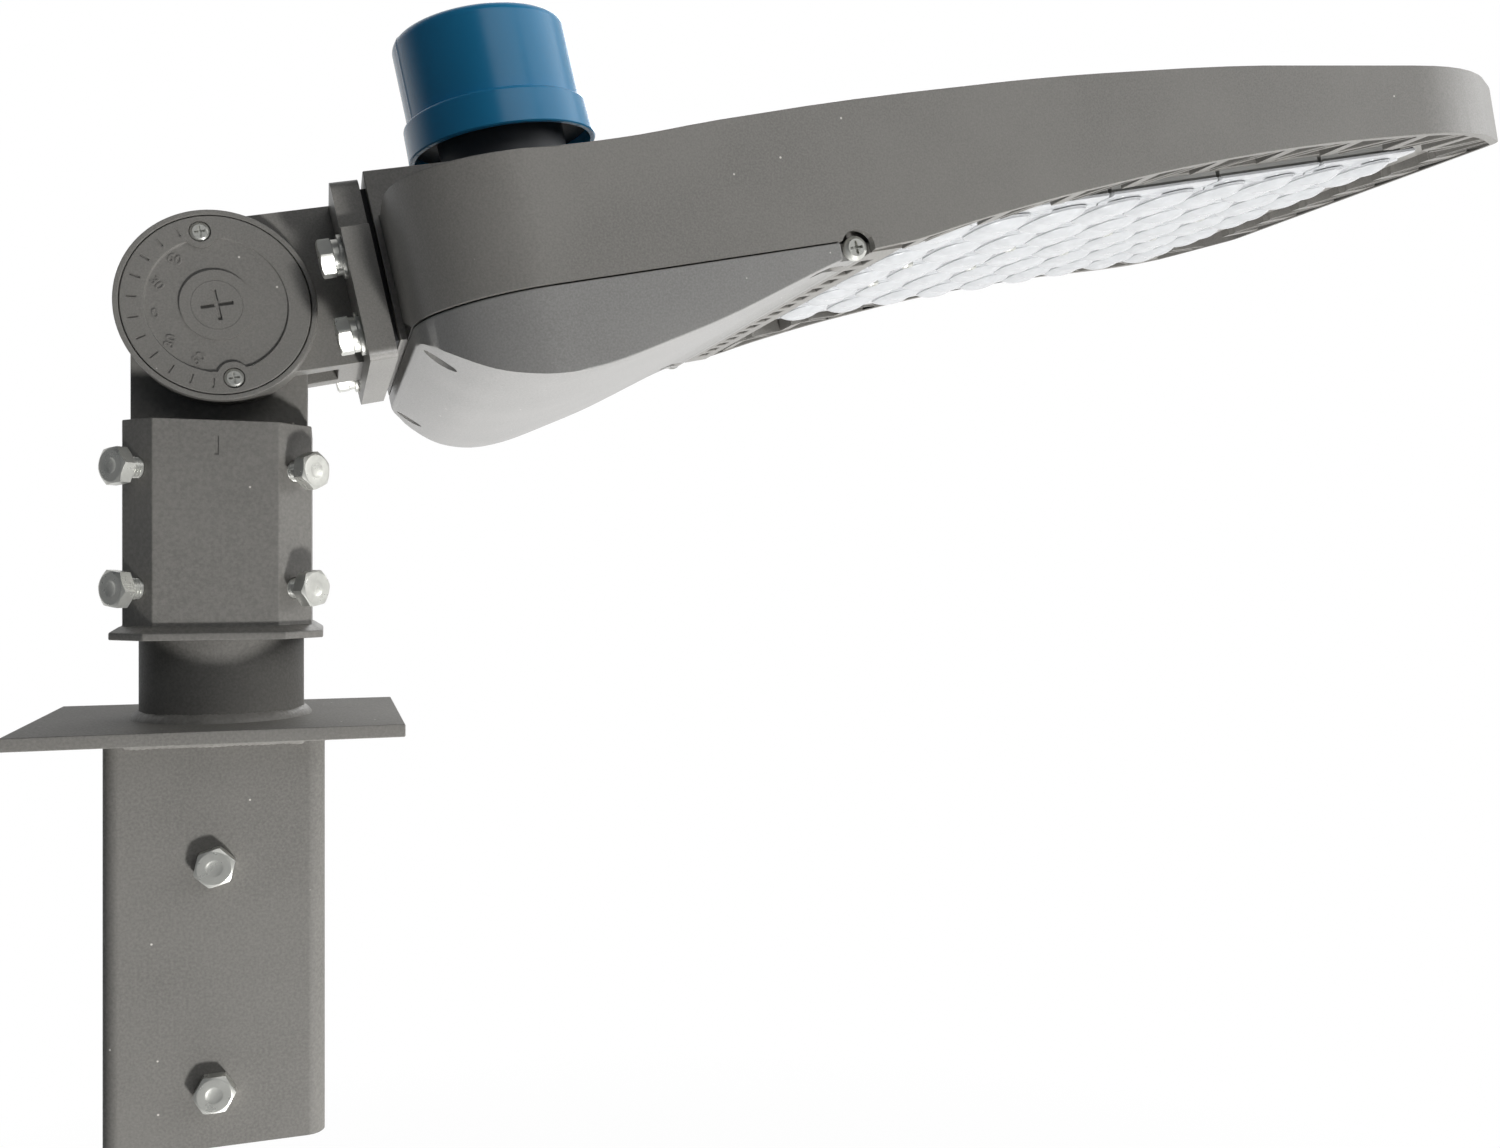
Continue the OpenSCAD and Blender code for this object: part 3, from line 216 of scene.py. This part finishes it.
def board_material():
    """White solder mask with faint copper traces under it."""
    s = Shader("board_white")
    trace = s.node("TexBrick", Scale=60.0)
    s.link(s.place, trace.inputs["Vector"])
    trace.inputs["Color1"].default_value = (0.80, 0.81, 0.80, 1)
    trace.inputs["Color2"].default_value = (0.84, 0.85, 0.84, 1)
    trace.inputs["Mortar"].default_value = (0.74, 0.75, 0.73, 1)
    fine = s.noise(0.5)
    return s.set(Base_Color=trace.outputs["Color"], Roughness=s.ramp(fine, 0.3, 0.7, 0.35, 0.5))


BODY_TONE = 121
MATERIALS = {
    "coat_smooth": coat_material("coat_smooth", BODY_TONE, 0.7, 0.03, rough=0.42),
    "coat_textured": coat_material("coat_textured", BODY_TONE, 1.3, 0.16, rough=0.46),
    "coat_adapter": coat_material("coat_adapter", BODY_TONE + 4, 1.0, 0.10, rough=0.6, shine=0.25),
    "coat_weld": coat_material("coat_weld", BODY_TONE + 10, 1.6, 0.3, rough=0.5),
    # Painted light: the door's coat is the body coat made 14 steps lighter, standing in for its
    # underside lit brightly from below.
    "coat_door_painted_light": coat_material("coat_door_painted_light", BODY_TONE + 14, 0.7, 0.02, warm=0.02, rough=0.36),
    "stainless": steel_material("stainless", 208, 0.3, (1.0, 1.0, 0.93), metal=0.62),
    "black_rubber": moulded_material("black_rubber", (0.012, 0.012, 0.013), 0.7),
    "grey_silicone": moulded_material("grey_silicone", (0.30, 0.30, 0.29), 0.6),
    "driver_case": steel_material("driver_case", 200, 0.4),
    "dark_plastic": moulded_material("dark_plastic", (0.02, 0.021, 0.023), 0.5),
    "grey_plastic": moulded_material("grey_plastic", (0.085, 0.09, 0.098), 0.42),
    "white_plastic": moulded_material("white_plastic", (0.62, 0.61, 0.56), 0.45),
    "brass_contact": steel_material("brass_contact", 190, 0.28, (1.0, 0.78, 0.42)),
    "blue_plastic": blue_material(),
    "board_white": board_material(),
    "chip_yellow": moulded_material("chip_yellow", (0.7, 0.5, 0.08), 0.3, 0.4),
    "clear_lens": lens_material(),
}
NODE_MATERIAL = {
    "insert_tube": "coat_adapter", "cap_plate": "coat_adapter", "tenon": "coat_adapter",
    "weld_fillets": "coat_adapter", "slip_fitter": "coat_textured",
    "compartment_door": "coat_door_painted_light", "photocell_socket": "grey_plastic",
}
SLOT_MATERIAL = {"adapter_steel": "coat_adapter", "coated_casting": "coat_smooth"}


def material_of(node):
    """The finish of a node: its own, or else that of its material slot."""
    slot = SLOT_OF[node]
    return MATERIALS[NODE_MATERIAL.get(node) or SLOT_MATERIAL.get(slot, slot)]


# ---- Pieces --------------------------------------------------------------------------

JOIN_WITHIN = 2e-6
SAME_POINT = 1e-7
FLAT_WITHIN_DEG = 0.5
ROUNDED_FROM_DEG = 28
ROUNDING_ROOM = 2.6


def add_piece(name, mesh, nodes, material=None, sharp=35):
    """A mesh in metres that stands for CAD nodes and rides with them."""
    piece = bpy.data.objects.new(name, mesh)
    bpy.context.scene.collection.objects.link(piece)
    mesh.materials.append(material or material_of(nodes[0]))
    mesh.shade_smooth()
    mesh.set_sharp_from_angle(angle=math.radians(sharp))
    weighted = piece.modifiers.new("even_normals", "WEIGHTED_NORMAL")
    weighted.keep_sharp = True
    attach(piece, BODY_OF[nodes[0]])
    return piece


def solid_of(node):
    """The node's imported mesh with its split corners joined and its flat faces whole."""
    source = frame["nodes"][node].data
    bm = bmesh.new()
    verts = [bm.verts.new(v.co) for v in source.vertices]
    for polygon in source.polygons:
        bm.faces.new([verts[i] for i in polygon.vertices])
    bmesh.ops.remove_doubles(bm, verts=bm.verts[:], dist=JOIN_WITHIN)
    flat = math.radians(FLAT_WITHIN_DEG)
    bmesh.ops.dissolve_limit(bm, angle_limit=flat, verts=bm.verts[:], edges=bm.edges[:])
    return bm


def round_edges(bm, radius_mm):
    """Rounds the sharp edges that are long enough to take it."""
    least = math.radians(ROUNDED_FROM_DEG)
    sharp = {e for e in bm.edges if len(e.link_faces) == 2 and e.calc_face_angle(0) > least}
    room = ROUNDING_ROOM * radius_mm * MM
    good = []
    for edge in [e for e in bm.edges if e in sharp]:
        joined = [e for v in edge.verts for e in v.link_edges if e in sharp]
        if all(e.calc_length() > room for e in joined):
            good.append(edge)
    bmesh.ops.bevel(bm, geom=good, offset=radius_mm * MM, segments=2, profile=0.5,
                    affect="EDGES", clamp_overlap=False)


def rounded(node, radius_mm):
    """The node's own shape with rounded edges."""
    bm = solid_of(node)
    round_edges(bm, radius_mm)
    mesh = bpy.data.meshes.new(node + "_form")
    bm.to_mesh(mesh)
    bm.free()
    piece = add_piece(node + "_form", mesh, [node])
    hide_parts(node)


# ---- Shapes in mesh code -------------------------------------------------------------


def skin(bm, rows):
    """Quads between neighbouring closed rows of corners; a row of one corner is a tip."""
    for low, high in zip(rows, rows[1:]):
        count = max(len(low), len(high))
        for i in range(count):
            j = (i + 1) % count
            ring = [low[i % len(low)], low[j % len(low)],
                    high[j % len(high)], high[i % len(high)]]
            bm.faces.new(list(dict.fromkeys(ring)))


def around(radius, angle, height):
    """The point at a radius and angle about Z."""
    return Vector((radius * math.cos(angle), radius * math.sin(angle), height))


def lathed(bm, place, profile, steps, radius_of=None):
    """A profile of (radius, height) turned about Z; radius_of may change it by angle."""
    rows = []
    for radius, height in profile:
        if radius == 0:
            rows.append([bm.verts.new(place @ Vector((0, 0, height)))])
            continue
        row = []
        for i in range(steps):
            angle = 2 * math.pi * i / steps
            r, z = radius_of(radius, height, angle) if radius_of else (radius, height)
            row.append(bm.verts.new(place @ around(r, angle, z)))
        rows.append(row)
    skin(bm, rows)
    return rows


def swept(bm, place, stations, section_at):
    """Closed sections of (y, z) along X, one for each station, with the ends shut."""
    rows = []
    for x in stations:
        rows.append([bm.verts.new(place @ Vector((x, y, z))) for y, z in section_at(x)])
    skin(bm, rows)
    bm.faces.new(rows[0])
    bm.faces.new(list(reversed(rows[-1])))


def made(name, bm, nodes, material=None, sharp=35):
    """Turns finished mesh code into a piece that stands for its nodes."""
    bmesh.ops.recalc_face_normals(bm, faces=bm.faces[:])
    mesh = bpy.data.meshes.new(name)
    bm.to_mesh(mesh)
    bm.free()
    piece = add_piece(name, mesh, nodes, material, sharp)
    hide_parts(*nodes)


HEX_AF = 13.0
HEX_H = 5.3
BOLT_R = 4.0
THREAD_PITCH = 1.25
THREAD_DEPTH = 0.62
THREAD_ROWS = 5
THREAD_RUN_IN = 1.2
TIP_R = 3.1
TIP_CHAMFER = 0.6
CROWN_SHARE = 0.93
CHAMFER_SLOPE = 0.577
BOLT_STEPS = 48


def hex_bolt(bm, place, total, turn, smooth_to=HEX_H + 0.4):
    """A hex bolt along +Z from its head's face: chamfered head, shallow dish and real thread."""
    flat = HEX_AF / 2
    crown = CROWN_SHARE * flat
    sixth = math.pi / 3

    def corner(angle):
        return flat / math.cos((angle - turn) % sixth - sixth / 2)

    def hexagon(radius, height, angle):
        edge = corner(angle)
        drop = (edge - crown) * CHAMFER_SLOPE
        if radius == flat:
            return edge, height + drop if height < HEX_H / 2 else height - drop * 0.5
        return radius, height

    head = [(0, 0.3), (0.30 * flat, 0.28), (0.42 * flat, 0.12), (0.50 * flat, 0.0),
            (0.88 * flat, 0.0), (crown, 0.03), (flat, 0.0), (flat, HEX_H), (crown, HEX_H),
            (BOLT_R + 0.25, HEX_H), (BOLT_R, HEX_H + 0.25)]
    last = lathed(bm, place, head, BOLT_STEPS, hexagon)[-1]
    turns = [i / BOLT_STEPS for i in range(BOLT_STEPS)]
    height = smooth_to
    while height < total - TIP_CHAMFER:
        row = []
        grown = min(1.0, (height - smooth_to) / THREAD_RUN_IN)
        for turn_share in turns:
            wound = (height / THREAD_PITCH - turn_share) % 1.0
            r = BOLT_R - THREAD_DEPTH * grown * abs(2 * wound - 1)
            row.append(bm.verts.new(place @ around(r, 2 * math.pi * turn_share, height)))
        skin(bm, [last, row])
        last = row
        height += THREAD_PITCH / THREAD_ROWS
    tip = [bm.verts.new(place @ around(TIP_R, 2 * math.pi * share, total)) for share in turns]
    skin(bm, [last, tip, [bm.verts.new(place @ Vector((0, 0, total)))]])


def turned(axis, degrees):
    """A turn about an axis."""
    return Matrix.Rotation(math.radians(degrees), 4, axis)


def moved(x, y, z):
    """A move in the builders' millimetres."""
    return Matrix.Translation((x, y, z))


SET_BOLT_Z = (55.0, 99.5)
SET_BOLT_OUT = 50.0
SET_BOLT_LEN = 19.55
INSERT_BOLT_Z = (-46.6, -129.0)
INSERT_BOLT_OUT = 5.5
INSERT_BOLT_LEN = 17.0
TUBE_HALF = 38.1
FLANGE_HEAD_X = 38.4
FLANGE_BOLT_LEN = 35.1
FLANGE_BOLT_Y = 50
FLANGE_BOLT_Z = (6.7, -22.0)
FLANGE_THREAD = 12


def add_bolts():
    """The three sets of hex bolts; lean is how far round a head is turned, in radians."""
    bm = bmesh.new()
    for z, lean in zip(SET_BOLT_Z, (0.35, 0.1)):
        for side, twist in ((-45, 0.0), (-135, 0.3)):
            place = POLE @ turned("Z", side) @ moved(SET_BOLT_OUT, 0, z) @ turned("Y", -90)
            hex_bolt(bm, place, SET_BOLT_LEN, lean + twist)
    made("set_bolt_screws", bm, ["set_bolts"], sharp=24)
    bm = bmesh.new()
    for z, lean in zip(INSERT_BOLT_Z, (0.75, 1.03)):
        for side in (0, 180):
            place = POLE @ turned("Z", side) @ moved(0, -TUBE_HALF, z) @ turned("X", -90)
            hex_bolt(bm, place @ moved(0, 0, -INSERT_BOLT_OUT), INSERT_BOLT_LEN, lean)
    made("insert_bolt_screws", bm, ["insert_bolts"], sharp=24)
    bm = bmesh.new()
    for z, lean in zip(FLANGE_BOLT_Z, (0.55, 0.48)):
        for y in (-FLANGE_BOLT_Y, FLANGE_BOLT_Y):
            place = HEAD @ moved(FLANGE_HEAD_X, y, z) @ turned("Y", 90)
            hex_bolt(bm, place, FLANGE_BOLT_LEN, lean, FLANGE_BOLT_LEN - FLANGE_THREAD)
    made("flange_bolt_screws", bm, ["flange_bolts"], sharp=24)


MODULE_X0 = 236.0
MODULE_L = 54.0
MODULE_N = 5
MODULE_HALF_W = 101.0
MODULE_GAP = 0.35
CORNER_CUT = 1.6
CORNER_CUT_LEN = 0.85
LENS_Z = -23.0
LENS_T = 2.2
DOME_PITCH_Y = 38.0
DOME_LONG_R = 18.6
DOME_SHORT_R = 13.1
DOME_STEPS = 36
DOME_H = 4.3
DOME_RIM = 0.45
DOME_EDGE = 0.965
DOME_ROWS = (0.0, 0.16, 0.32, 0.48, 0.62, 0.74, 0.84, 0.92, DOME_EDGE, 0.966, 1.0, 1.01)


def lens_section():
    """Across a lens plate: side bands one step back, and low ribs between the rows of lenses."""
    half, top = MODULE_HALF_W, LENS_Z + LENS_T
    side = [(half, top), (half, LENS_Z + 1.2), (half - 0.6, LENS_Z + 0.7),
            (half - 10.4, LENS_Z + 0.7), (half - 11.2, LENS_Z - 0.1),
            (half - 12.4, LENS_Z - 0.1), (half - 13.2, LENS_Z)]
    under = list(side)
    for middle in [pitches * DOME_PITCH_Y for pitches in (1.5, 0.5, -0.5, -1.5)]:
        for at in (1.6, -1.6):
            under += [(middle + at + 0.7, LENS_Z), (middle + at + 0.25, LENS_Z - 0.6),
                      (middle + at - 0.25, LENS_Z - 0.6), (middle + at - 0.7, LENS_Z)]
    return under + [(-y, z) for y, z in reversed(side)]


def add_lens(bm, x, y):
    """One two-lobed street light lens: a long dome with a waist, a saddle and a low rim."""
    rows = []
    for share in DOME_ROWS:
        row = []
        for i in range(1 if share == 0 else DOME_STEPS):
            angle = 2 * math.pi * i / DOME_STEPS
            waist = 1 - 0.16 * math.cos(angle) ** 6
            px = DOME_SHORT_R * share * math.cos(angle) * waist
            py = DOME_LONG_R * share * math.sin(angle)
            saddle = 1 - 0.42 * math.exp(-(py / 6.0) ** 2) * (1 - 0.5 * abs(px) / DOME_SHORT_R)
            rise = DOME_RIM + DOME_H * max(0.0, 1 - share ** 2.3) ** 0.8 * saddle
            if share > DOME_EDGE:
                rise = DOME_RIM if share <= 1 else 0.0
            row.append(bm.verts.new(HEAD @ Vector((x + px, y + py, LENS_Z + 0.3 - rise))))
        rows.append(row)
    skin(bm, rows)
    bm.faces.new(list(reversed(rows[-1])))


def add_lens_modules():
    """The lens plates side by side, each with two columns of lenses."""
    bm = bmesh.new()
    section = lens_section()

    def pinched(x):
        """The plate's side corners are cut back at both ends."""
        near = min(abs(x - start), abs(x - stop))
        back = CORNER_CUT * max(0.0, 1 - near / CORNER_CUT_LEN)
        return [(y - math.copysign(back, y) if abs(y) > MODULE_HALF_W - 1 else y, z)
                for y, z in section]

    for i in range(MODULE_N):
        start = MODULE_X0 + MODULE_L * i + MODULE_GAP
        stop = MODULE_X0 + MODULE_L * (i + 1) - MODULE_GAP
        stations = [start, start + 0.4, start + CORNER_CUT_LEN,
                    stop - CORNER_CUT_LEN, stop - 0.4, stop]
        swept(bm, HEAD, stations, pinched)
        for k in (0.25, 0.75):
            for j in (-2, -1, 0, 1, 2):
                add_lens(bm, MODULE_X0 + MODULE_L * (i + k), j * DOME_PITCH_Y)
    made("lens_arrays", bm, ["lens_modules"], sharp=40)


CAP_X = 124.0
CAP_Z0 = 52.0
CAP_H = 49.0
CAP_RING_H = 14.5
CAP_RING_R = 39.5
CAP_TOP_R = 36.8
CAP_SKIN = 2.2
CAP_EDGE_R = 4.0
MOULD_LINE_DEG = 194


def add_cap():
    """The twist-lock cap: skirt with a small flare, a step, straight wall and rounded top."""
    edge, wall_r = CAP_EDGE_R, CAP_TOP_R - 0.3
    inner = CAP_TOP_R - CAP_SKIN
    profile = [(CAP_RING_R - CAP_SKIN, 0), (CAP_RING_R - 0.5, 0), (CAP_RING_R, 0.5),
               (CAP_RING_R - 0.5, CAP_RING_H - 1.4), (CAP_RING_R - 0.8, CAP_RING_H - 0.6),
               (CAP_RING_R - 1.6, CAP_RING_H), (CAP_TOP_R + 0.5, CAP_RING_H),
               (CAP_TOP_R, CAP_RING_H + 0.4), (CAP_TOP_R - 0.15, CAP_RING_H + 12),
               (wall_r, CAP_H - edge - 2)]
    for i in range(9):
        angle = math.pi / 2 * i / 8
        profile.append((wall_r - edge + edge * math.cos(angle),
                        CAP_H - edge + edge * math.sin(angle)))
    profile += [(22, CAP_H - 0.02), (21.6, CAP_H - 0.35), (20.4, CAP_H - 0.35),
                (20, CAP_H - 0.02), (0, CAP_H)]
    inside = [(0, CAP_H - CAP_SKIN), (inner - 2, CAP_H - CAP_SKIN),
              (inner - 1, CAP_RING_H - CAP_SKIN), (CAP_RING_R - CAP_SKIN, CAP_RING_H - CAP_SKIN),
              (CAP_RING_R - CAP_SKIN, 0)]
    bm = bmesh.new()
    place = HEAD @ moved(CAP_X, 0, CAP_Z0)
    rib_at = math.radians(MOULD_LINE_DEG)

    def ribbed(radius, height, angle):
        """A thin mould line runs up the wall and over the top's edge."""
        off = (angle - rib_at) * radius
        raised = 0.3 * math.exp(-(off / 0.55) ** 2) if radius > 24 and height > CAP_RING_H else 0.0
        return radius + raised, height

    lathed(bm, place, profile, 360, ribbed)
    lathed(bm, place, inside, 96)
    bmesh.ops.remove_doubles(bm, verts=bm.verts[:], dist=SAME_POINT)
    made("twist_cap", bm, ["shorting_cap"], sharp=40)


DIAL_Y = -29.0
DIAL_TEXT_R = 21.6
DIAL_TEXT_SIZE = 5.0
DIAL_TEXT_RISE = 0.4


def add_dial_numbers():
    """Raised angle numbers beside the marks of the tilt dial."""
    bm = bmesh.new()
    for mark in (-60, -30, 0, 30, 60):
        curve = bpy.data.curves.new("dial_number", "FONT")
        curve.body = str(abs(mark))
        curve.size = DIAL_TEXT_SIZE
        curve.align_x = "CENTER"
        curve.align_y = "CENTER"
        curve.extrude = DIAL_TEXT_RISE
        curve.offset = 0.05
        curve.resolution_u = 4
        holder = bpy.data.objects.new("dial_number", curve)
        mesh = bpy.data.meshes.new_from_object(holder)
        a = math.radians(mark)
        at = moved(-DIAL_TEXT_R * math.cos(a), DIAL_Y, DIAL_TEXT_R * math.sin(a))
        along = math.copysign(90, mark) - mark if mark else 0
        mesh.transform(HEAD @ at @ turned("Y", along) @ turned("X", 90))
        bm.from_mesh(mesh)
        bpy.data.objects.remove(holder)
        bpy.data.curves.remove(curve)
        bpy.data.meshes.remove(mesh)
    bmesh.ops.remove_doubles(bm, verts=bm.verts[:], dist=SAME_POINT)
    mesh = bpy.data.meshes.new("dial_numbers")
    bm.to_mesh(mesh)
    bm.free()
    add_piece("dial_numbers", mesh, ["dial_cover"], sharp=30)


TENON_R = 30.15
PLATE_T = 4.8
WELD_LEG = 3.2
WELD_HOLLOW = 0.14
WELD_STEPS = 240
TUBE_CORNER = 6.0


def weld_section(scale):
    """A slightly hollow weld bead in its corner, as (out, up) from the corner."""
    points = [(0.0, 0.0)]
    for i in range(7):
        angle = math.pi / 2 * i / 6
        reach = WELD_LEG * scale * (1 - WELD_HOLLOW * math.sin(2 * angle))
        points.append((reach * math.cos(angle), reach * math.sin(angle)))
    return points


def ripple(along):
    """Size of a weld bead at a place along it: chevrons, and an uneven hand."""
    wave = abs(math.sin(math.pi * along / 2.1))
    return 0.9 + 0.1 * wave + 0.13 * noise.noise(Vector((along * 0.16, 3.1, 0.4)))


def add_welds():
    """Beads round the tenon's foot and along the tube's four sides under the plate."""
    bm = bmesh.new()
    rows = []
    for i in range(WELD_STEPS):
        angle = 2 * math.pi * i / WELD_STEPS
        rows.append([bm.verts.new(POLE @ around(TENON_R - 0.05 + out, angle, PLATE_T + up))
                     for out, up in weld_section(ripple(angle * TENON_R))])
    skin(bm, rows + [rows[0]])
    length = 2 * (TUBE_HALF - TUBE_CORNER)
    stations = [-length / 2 + length * i / 90 for i in range(91)]
    for side in range(4):
        place = POLE @ turned("Z", 90 * side) @ moved(0, TUBE_HALF, 0)

        def bead(x, seed=side * 40):
            fade = min(1.0, (length / 2 - abs(x)) / 3 + 0.35)
            return [(out, -up) for out, up in weld_section(ripple(x + seed) * fade)]

        swept(bm, place, stations, bead)
    made("weld_beads", bm, ["weld_fillets"], MATERIALS["coat_weld"], sharp=60)


for node, obj in frame["nodes"].items():
    obj.data.materials.clear()
    obj.data.materials.append(material_of(node))

for node in ("insert_tube", "cap_plate", "slip_fitter", "knuckle_arm", "housing", "dial_cover",
             "dial_plug", "back_cover", "back_plug", "tenon"):
    rounded(node, 0.5)
rounded("compartment_door", 0.8)
rounded("flange_flat_washers", 0.25)
add_bolts()
add_lens_modules()
add_cap()
add_dial_numbers()
add_welds()


# ---- Camera, light and stage ---------------------------------------------------------

CAMERA_AT = (38.2, -542.3, 60.0)
CAMERA_YAW = 18.5
FOCAL_PX = 1270.0
PHOTO_W = 1500.0
PHOTO_H = 1148.0
HORIZON_PX = 575.0
FLOOR_Z = -1.3
FLOOR_HALF = 14.0
FAR_SIDE = (0.317, 0.948, 0.0)
NEAR_GLOW = 0.08
SKY = (0.5, 0.7, 1.0, 1)


def add_camera():
    """A level camera; its small shift puts the horizon where the picture has it."""
    data = bpy.data.cameras.new("camera")
    data.sensor_width = 36.0
    data.lens = FOCAL_PX / PHOTO_W * data.sensor_width
    data.shift_y = (HORIZON_PX - PHOTO_H / 2) / PHOTO_W
    data.clip_start = 0.02
    data.clip_end = 60
    camera = bpy.data.objects.new("camera", data)
    camera.location = Vector(CAMERA_AT) * MM
    camera.rotation_euler = (math.radians(90), 0, math.radians(-CAMERA_YAW))
    bpy.context.scene.collection.objects.link(camera)
    bpy.context.scene.camera = camera


def add_panel(name, at, toward, size, watts):
    """A soft light panel that faces a point; places in metres."""
    data = bpy.data.lights.new(name, "AREA")
    data.shape = "RECTANGLE"
    data.size, data.size_y = size
    data.energy = watts
    panel = bpy.data.objects.new(name, data)
    panel.location = at
    aim = Vector(toward) - Vector(at)
    panel.rotation_euler = aim.to_track_quat("-Z", "Y").to_euler()
    panel.visible_camera = False
    bpy.context.scene.collection.objects.link(panel)


def dimmer(tree, vector, low, high, least):
    """least where the vector points at the camera's side, up to 1 on the far side."""
    along = tree.nodes.new("ShaderNodeVectorMath")
    along.operation = "DOT_PRODUCT"
    along.inputs[1].default_value = FAR_SIDE
    tree.links.new(vector, along.inputs[0])
    made = tree.nodes.new("ShaderNodeMapRange")
    made.interpolation_type = "SMOOTHSTEP"
    made.inputs["From Min"].default_value = low
    made.inputs["From Max"].default_value = high
    made.inputs["To Min"].default_value = least
    made.inputs["To Max"].default_value = 1.0
    tree.links.new(along.outputs["Value"], made.inputs["Value"])
    return made.outputs["Result"]


def combined(tree, kind, a, b):
    """One of Math's operations on two values."""
    made = tree.nodes.new("ShaderNodeMath")
    made.operation = kind
    tree.links.new(a, made.inputs[0])
    tree.links.new(b, made.inputs[1])
    return made.outputs[0]


def backdrop_share(tree, vector, low, high, least):
    """How white the stage looks: 1 to the camera, and to gloss and glass less on the near side."""
    path = tree.nodes.new("ShaderNodeLightPath").outputs
    shiny = combined(tree, "MAXIMUM", path["Is Glossy Ray"], path["Is Transmission Ray"])
    shiny = combined(tree, "MULTIPLY", shiny, dimmer(tree, vector, low, high, least))
    return combined(tree, "MAXIMUM", path["Is Camera Ray"], shiny)


def add_floor():
    """A wide pale floor that shows white and keeps a soft shadow."""
    half, level = FLOOR_HALF, FLOOR_Z
    mesh = bpy.data.meshes.new("floor")
    corners = [(x * half, y * half, level) for x, y in ((-1, -1), (1, -1), (1, 1), (-1, 1))]
    mesh.from_pydata(corners, [], [(0, 1, 2, 3)])
    floor = bpy.data.objects.new("floor", mesh)
    bpy.context.scene.collection.objects.link(floor)
    s = Shader("floor_pale")
    s.set(Base_Color=(0.86, 0.86, 0.855), Roughness=0.9, Specular_IOR_Level=0.1)
    glow = s.node("Emission", Strength=1.0)
    glow.inputs["Color"].default_value = (1, 1, 1, 1)
    away = s.node("VectorMath", operation="LENGTH")
    s.link(s.place, away.inputs[0])
    seen = backdrop_share(s.tree, s.place, -1.2, 0.6, NEAR_GLOW)
    share = combined(s.tree, "MULTIPLY", seen, s.ramp(away.outputs["Value"], 1.2, 3.4, 0.93, 1.0))
    mix = s.node("MixShader")
    s.link(share, mix.inputs[0])
    s.link(s.bsdf.outputs[0], mix.inputs[1])
    s.link(glow.outputs[0], mix.inputs[2])
    s.link(mix.outputs[0], s.tree.nodes["Material Output"].inputs["Surface"])
    mesh.materials.append(s.material)


def add_world():
    """A dim sky for light, and a white backdrop for what looks straight at it."""
    world = bpy.data.worlds.new("studio")
    bpy.context.scene.world = world
    world.use_nodes = True
    tree = world.node_tree
    tree.nodes.clear()
    out = tree.nodes.new("ShaderNodeOutputWorld")
    light = tree.nodes.new("ShaderNodeBackground")
    light.inputs["Color"].default_value = SKY
    light.inputs["Strength"].default_value = 0.03
    white = tree.nodes.new("ShaderNodeBackground")
    white.inputs["Color"].default_value = (1, 1, 1, 1)
    white.inputs["Strength"].default_value = 1.0
    direction = tree.nodes.new("ShaderNodeTexCoord").outputs["Generated"]
    mix = tree.nodes.new("ShaderNodeMixShader")
    tree.links.new(backdrop_share(tree, direction, -0.3, 0.45, NEAR_GLOW), mix.inputs[0])
    tree.links.new(light.outputs[0], mix.inputs[1])
    tree.links.new(white.outputs[0], mix.inputs[2])
    tree.links.new(mix.outputs[0], out.inputs["Surface"])


add_camera()
add_world()
add_floor()
add_panel("key", (0.775, -1.256, -1.109), (0.12, 0, 0.08), (0.2, 0.2), 27.5)
add_panel("side", (1.9, -0.6, 0.5), (0.2, 0, 0.1), (0.6, 0.6), 3)
add_panel("right_wall", (1.9, -0.55, 1.15), (0.1, 0, 0.15), (2.2, 1.7), 17)
add_panel("top_front", (0.5, -1.6, 1.2), (0.1, 0, 0.15), (1.4, 1.0), 6)
add_panel("under", (0.24, 0.10, -0.85), (0.24, 0.05, 0.15), (0.7, 0.7), 9)
add_panel("back", (0.9, 1.9, 1.25), (0.2, 0, 0.1), (1.2, 0.8), 14)
bpy.context.scene.view_settings.view_transform = "Standard"
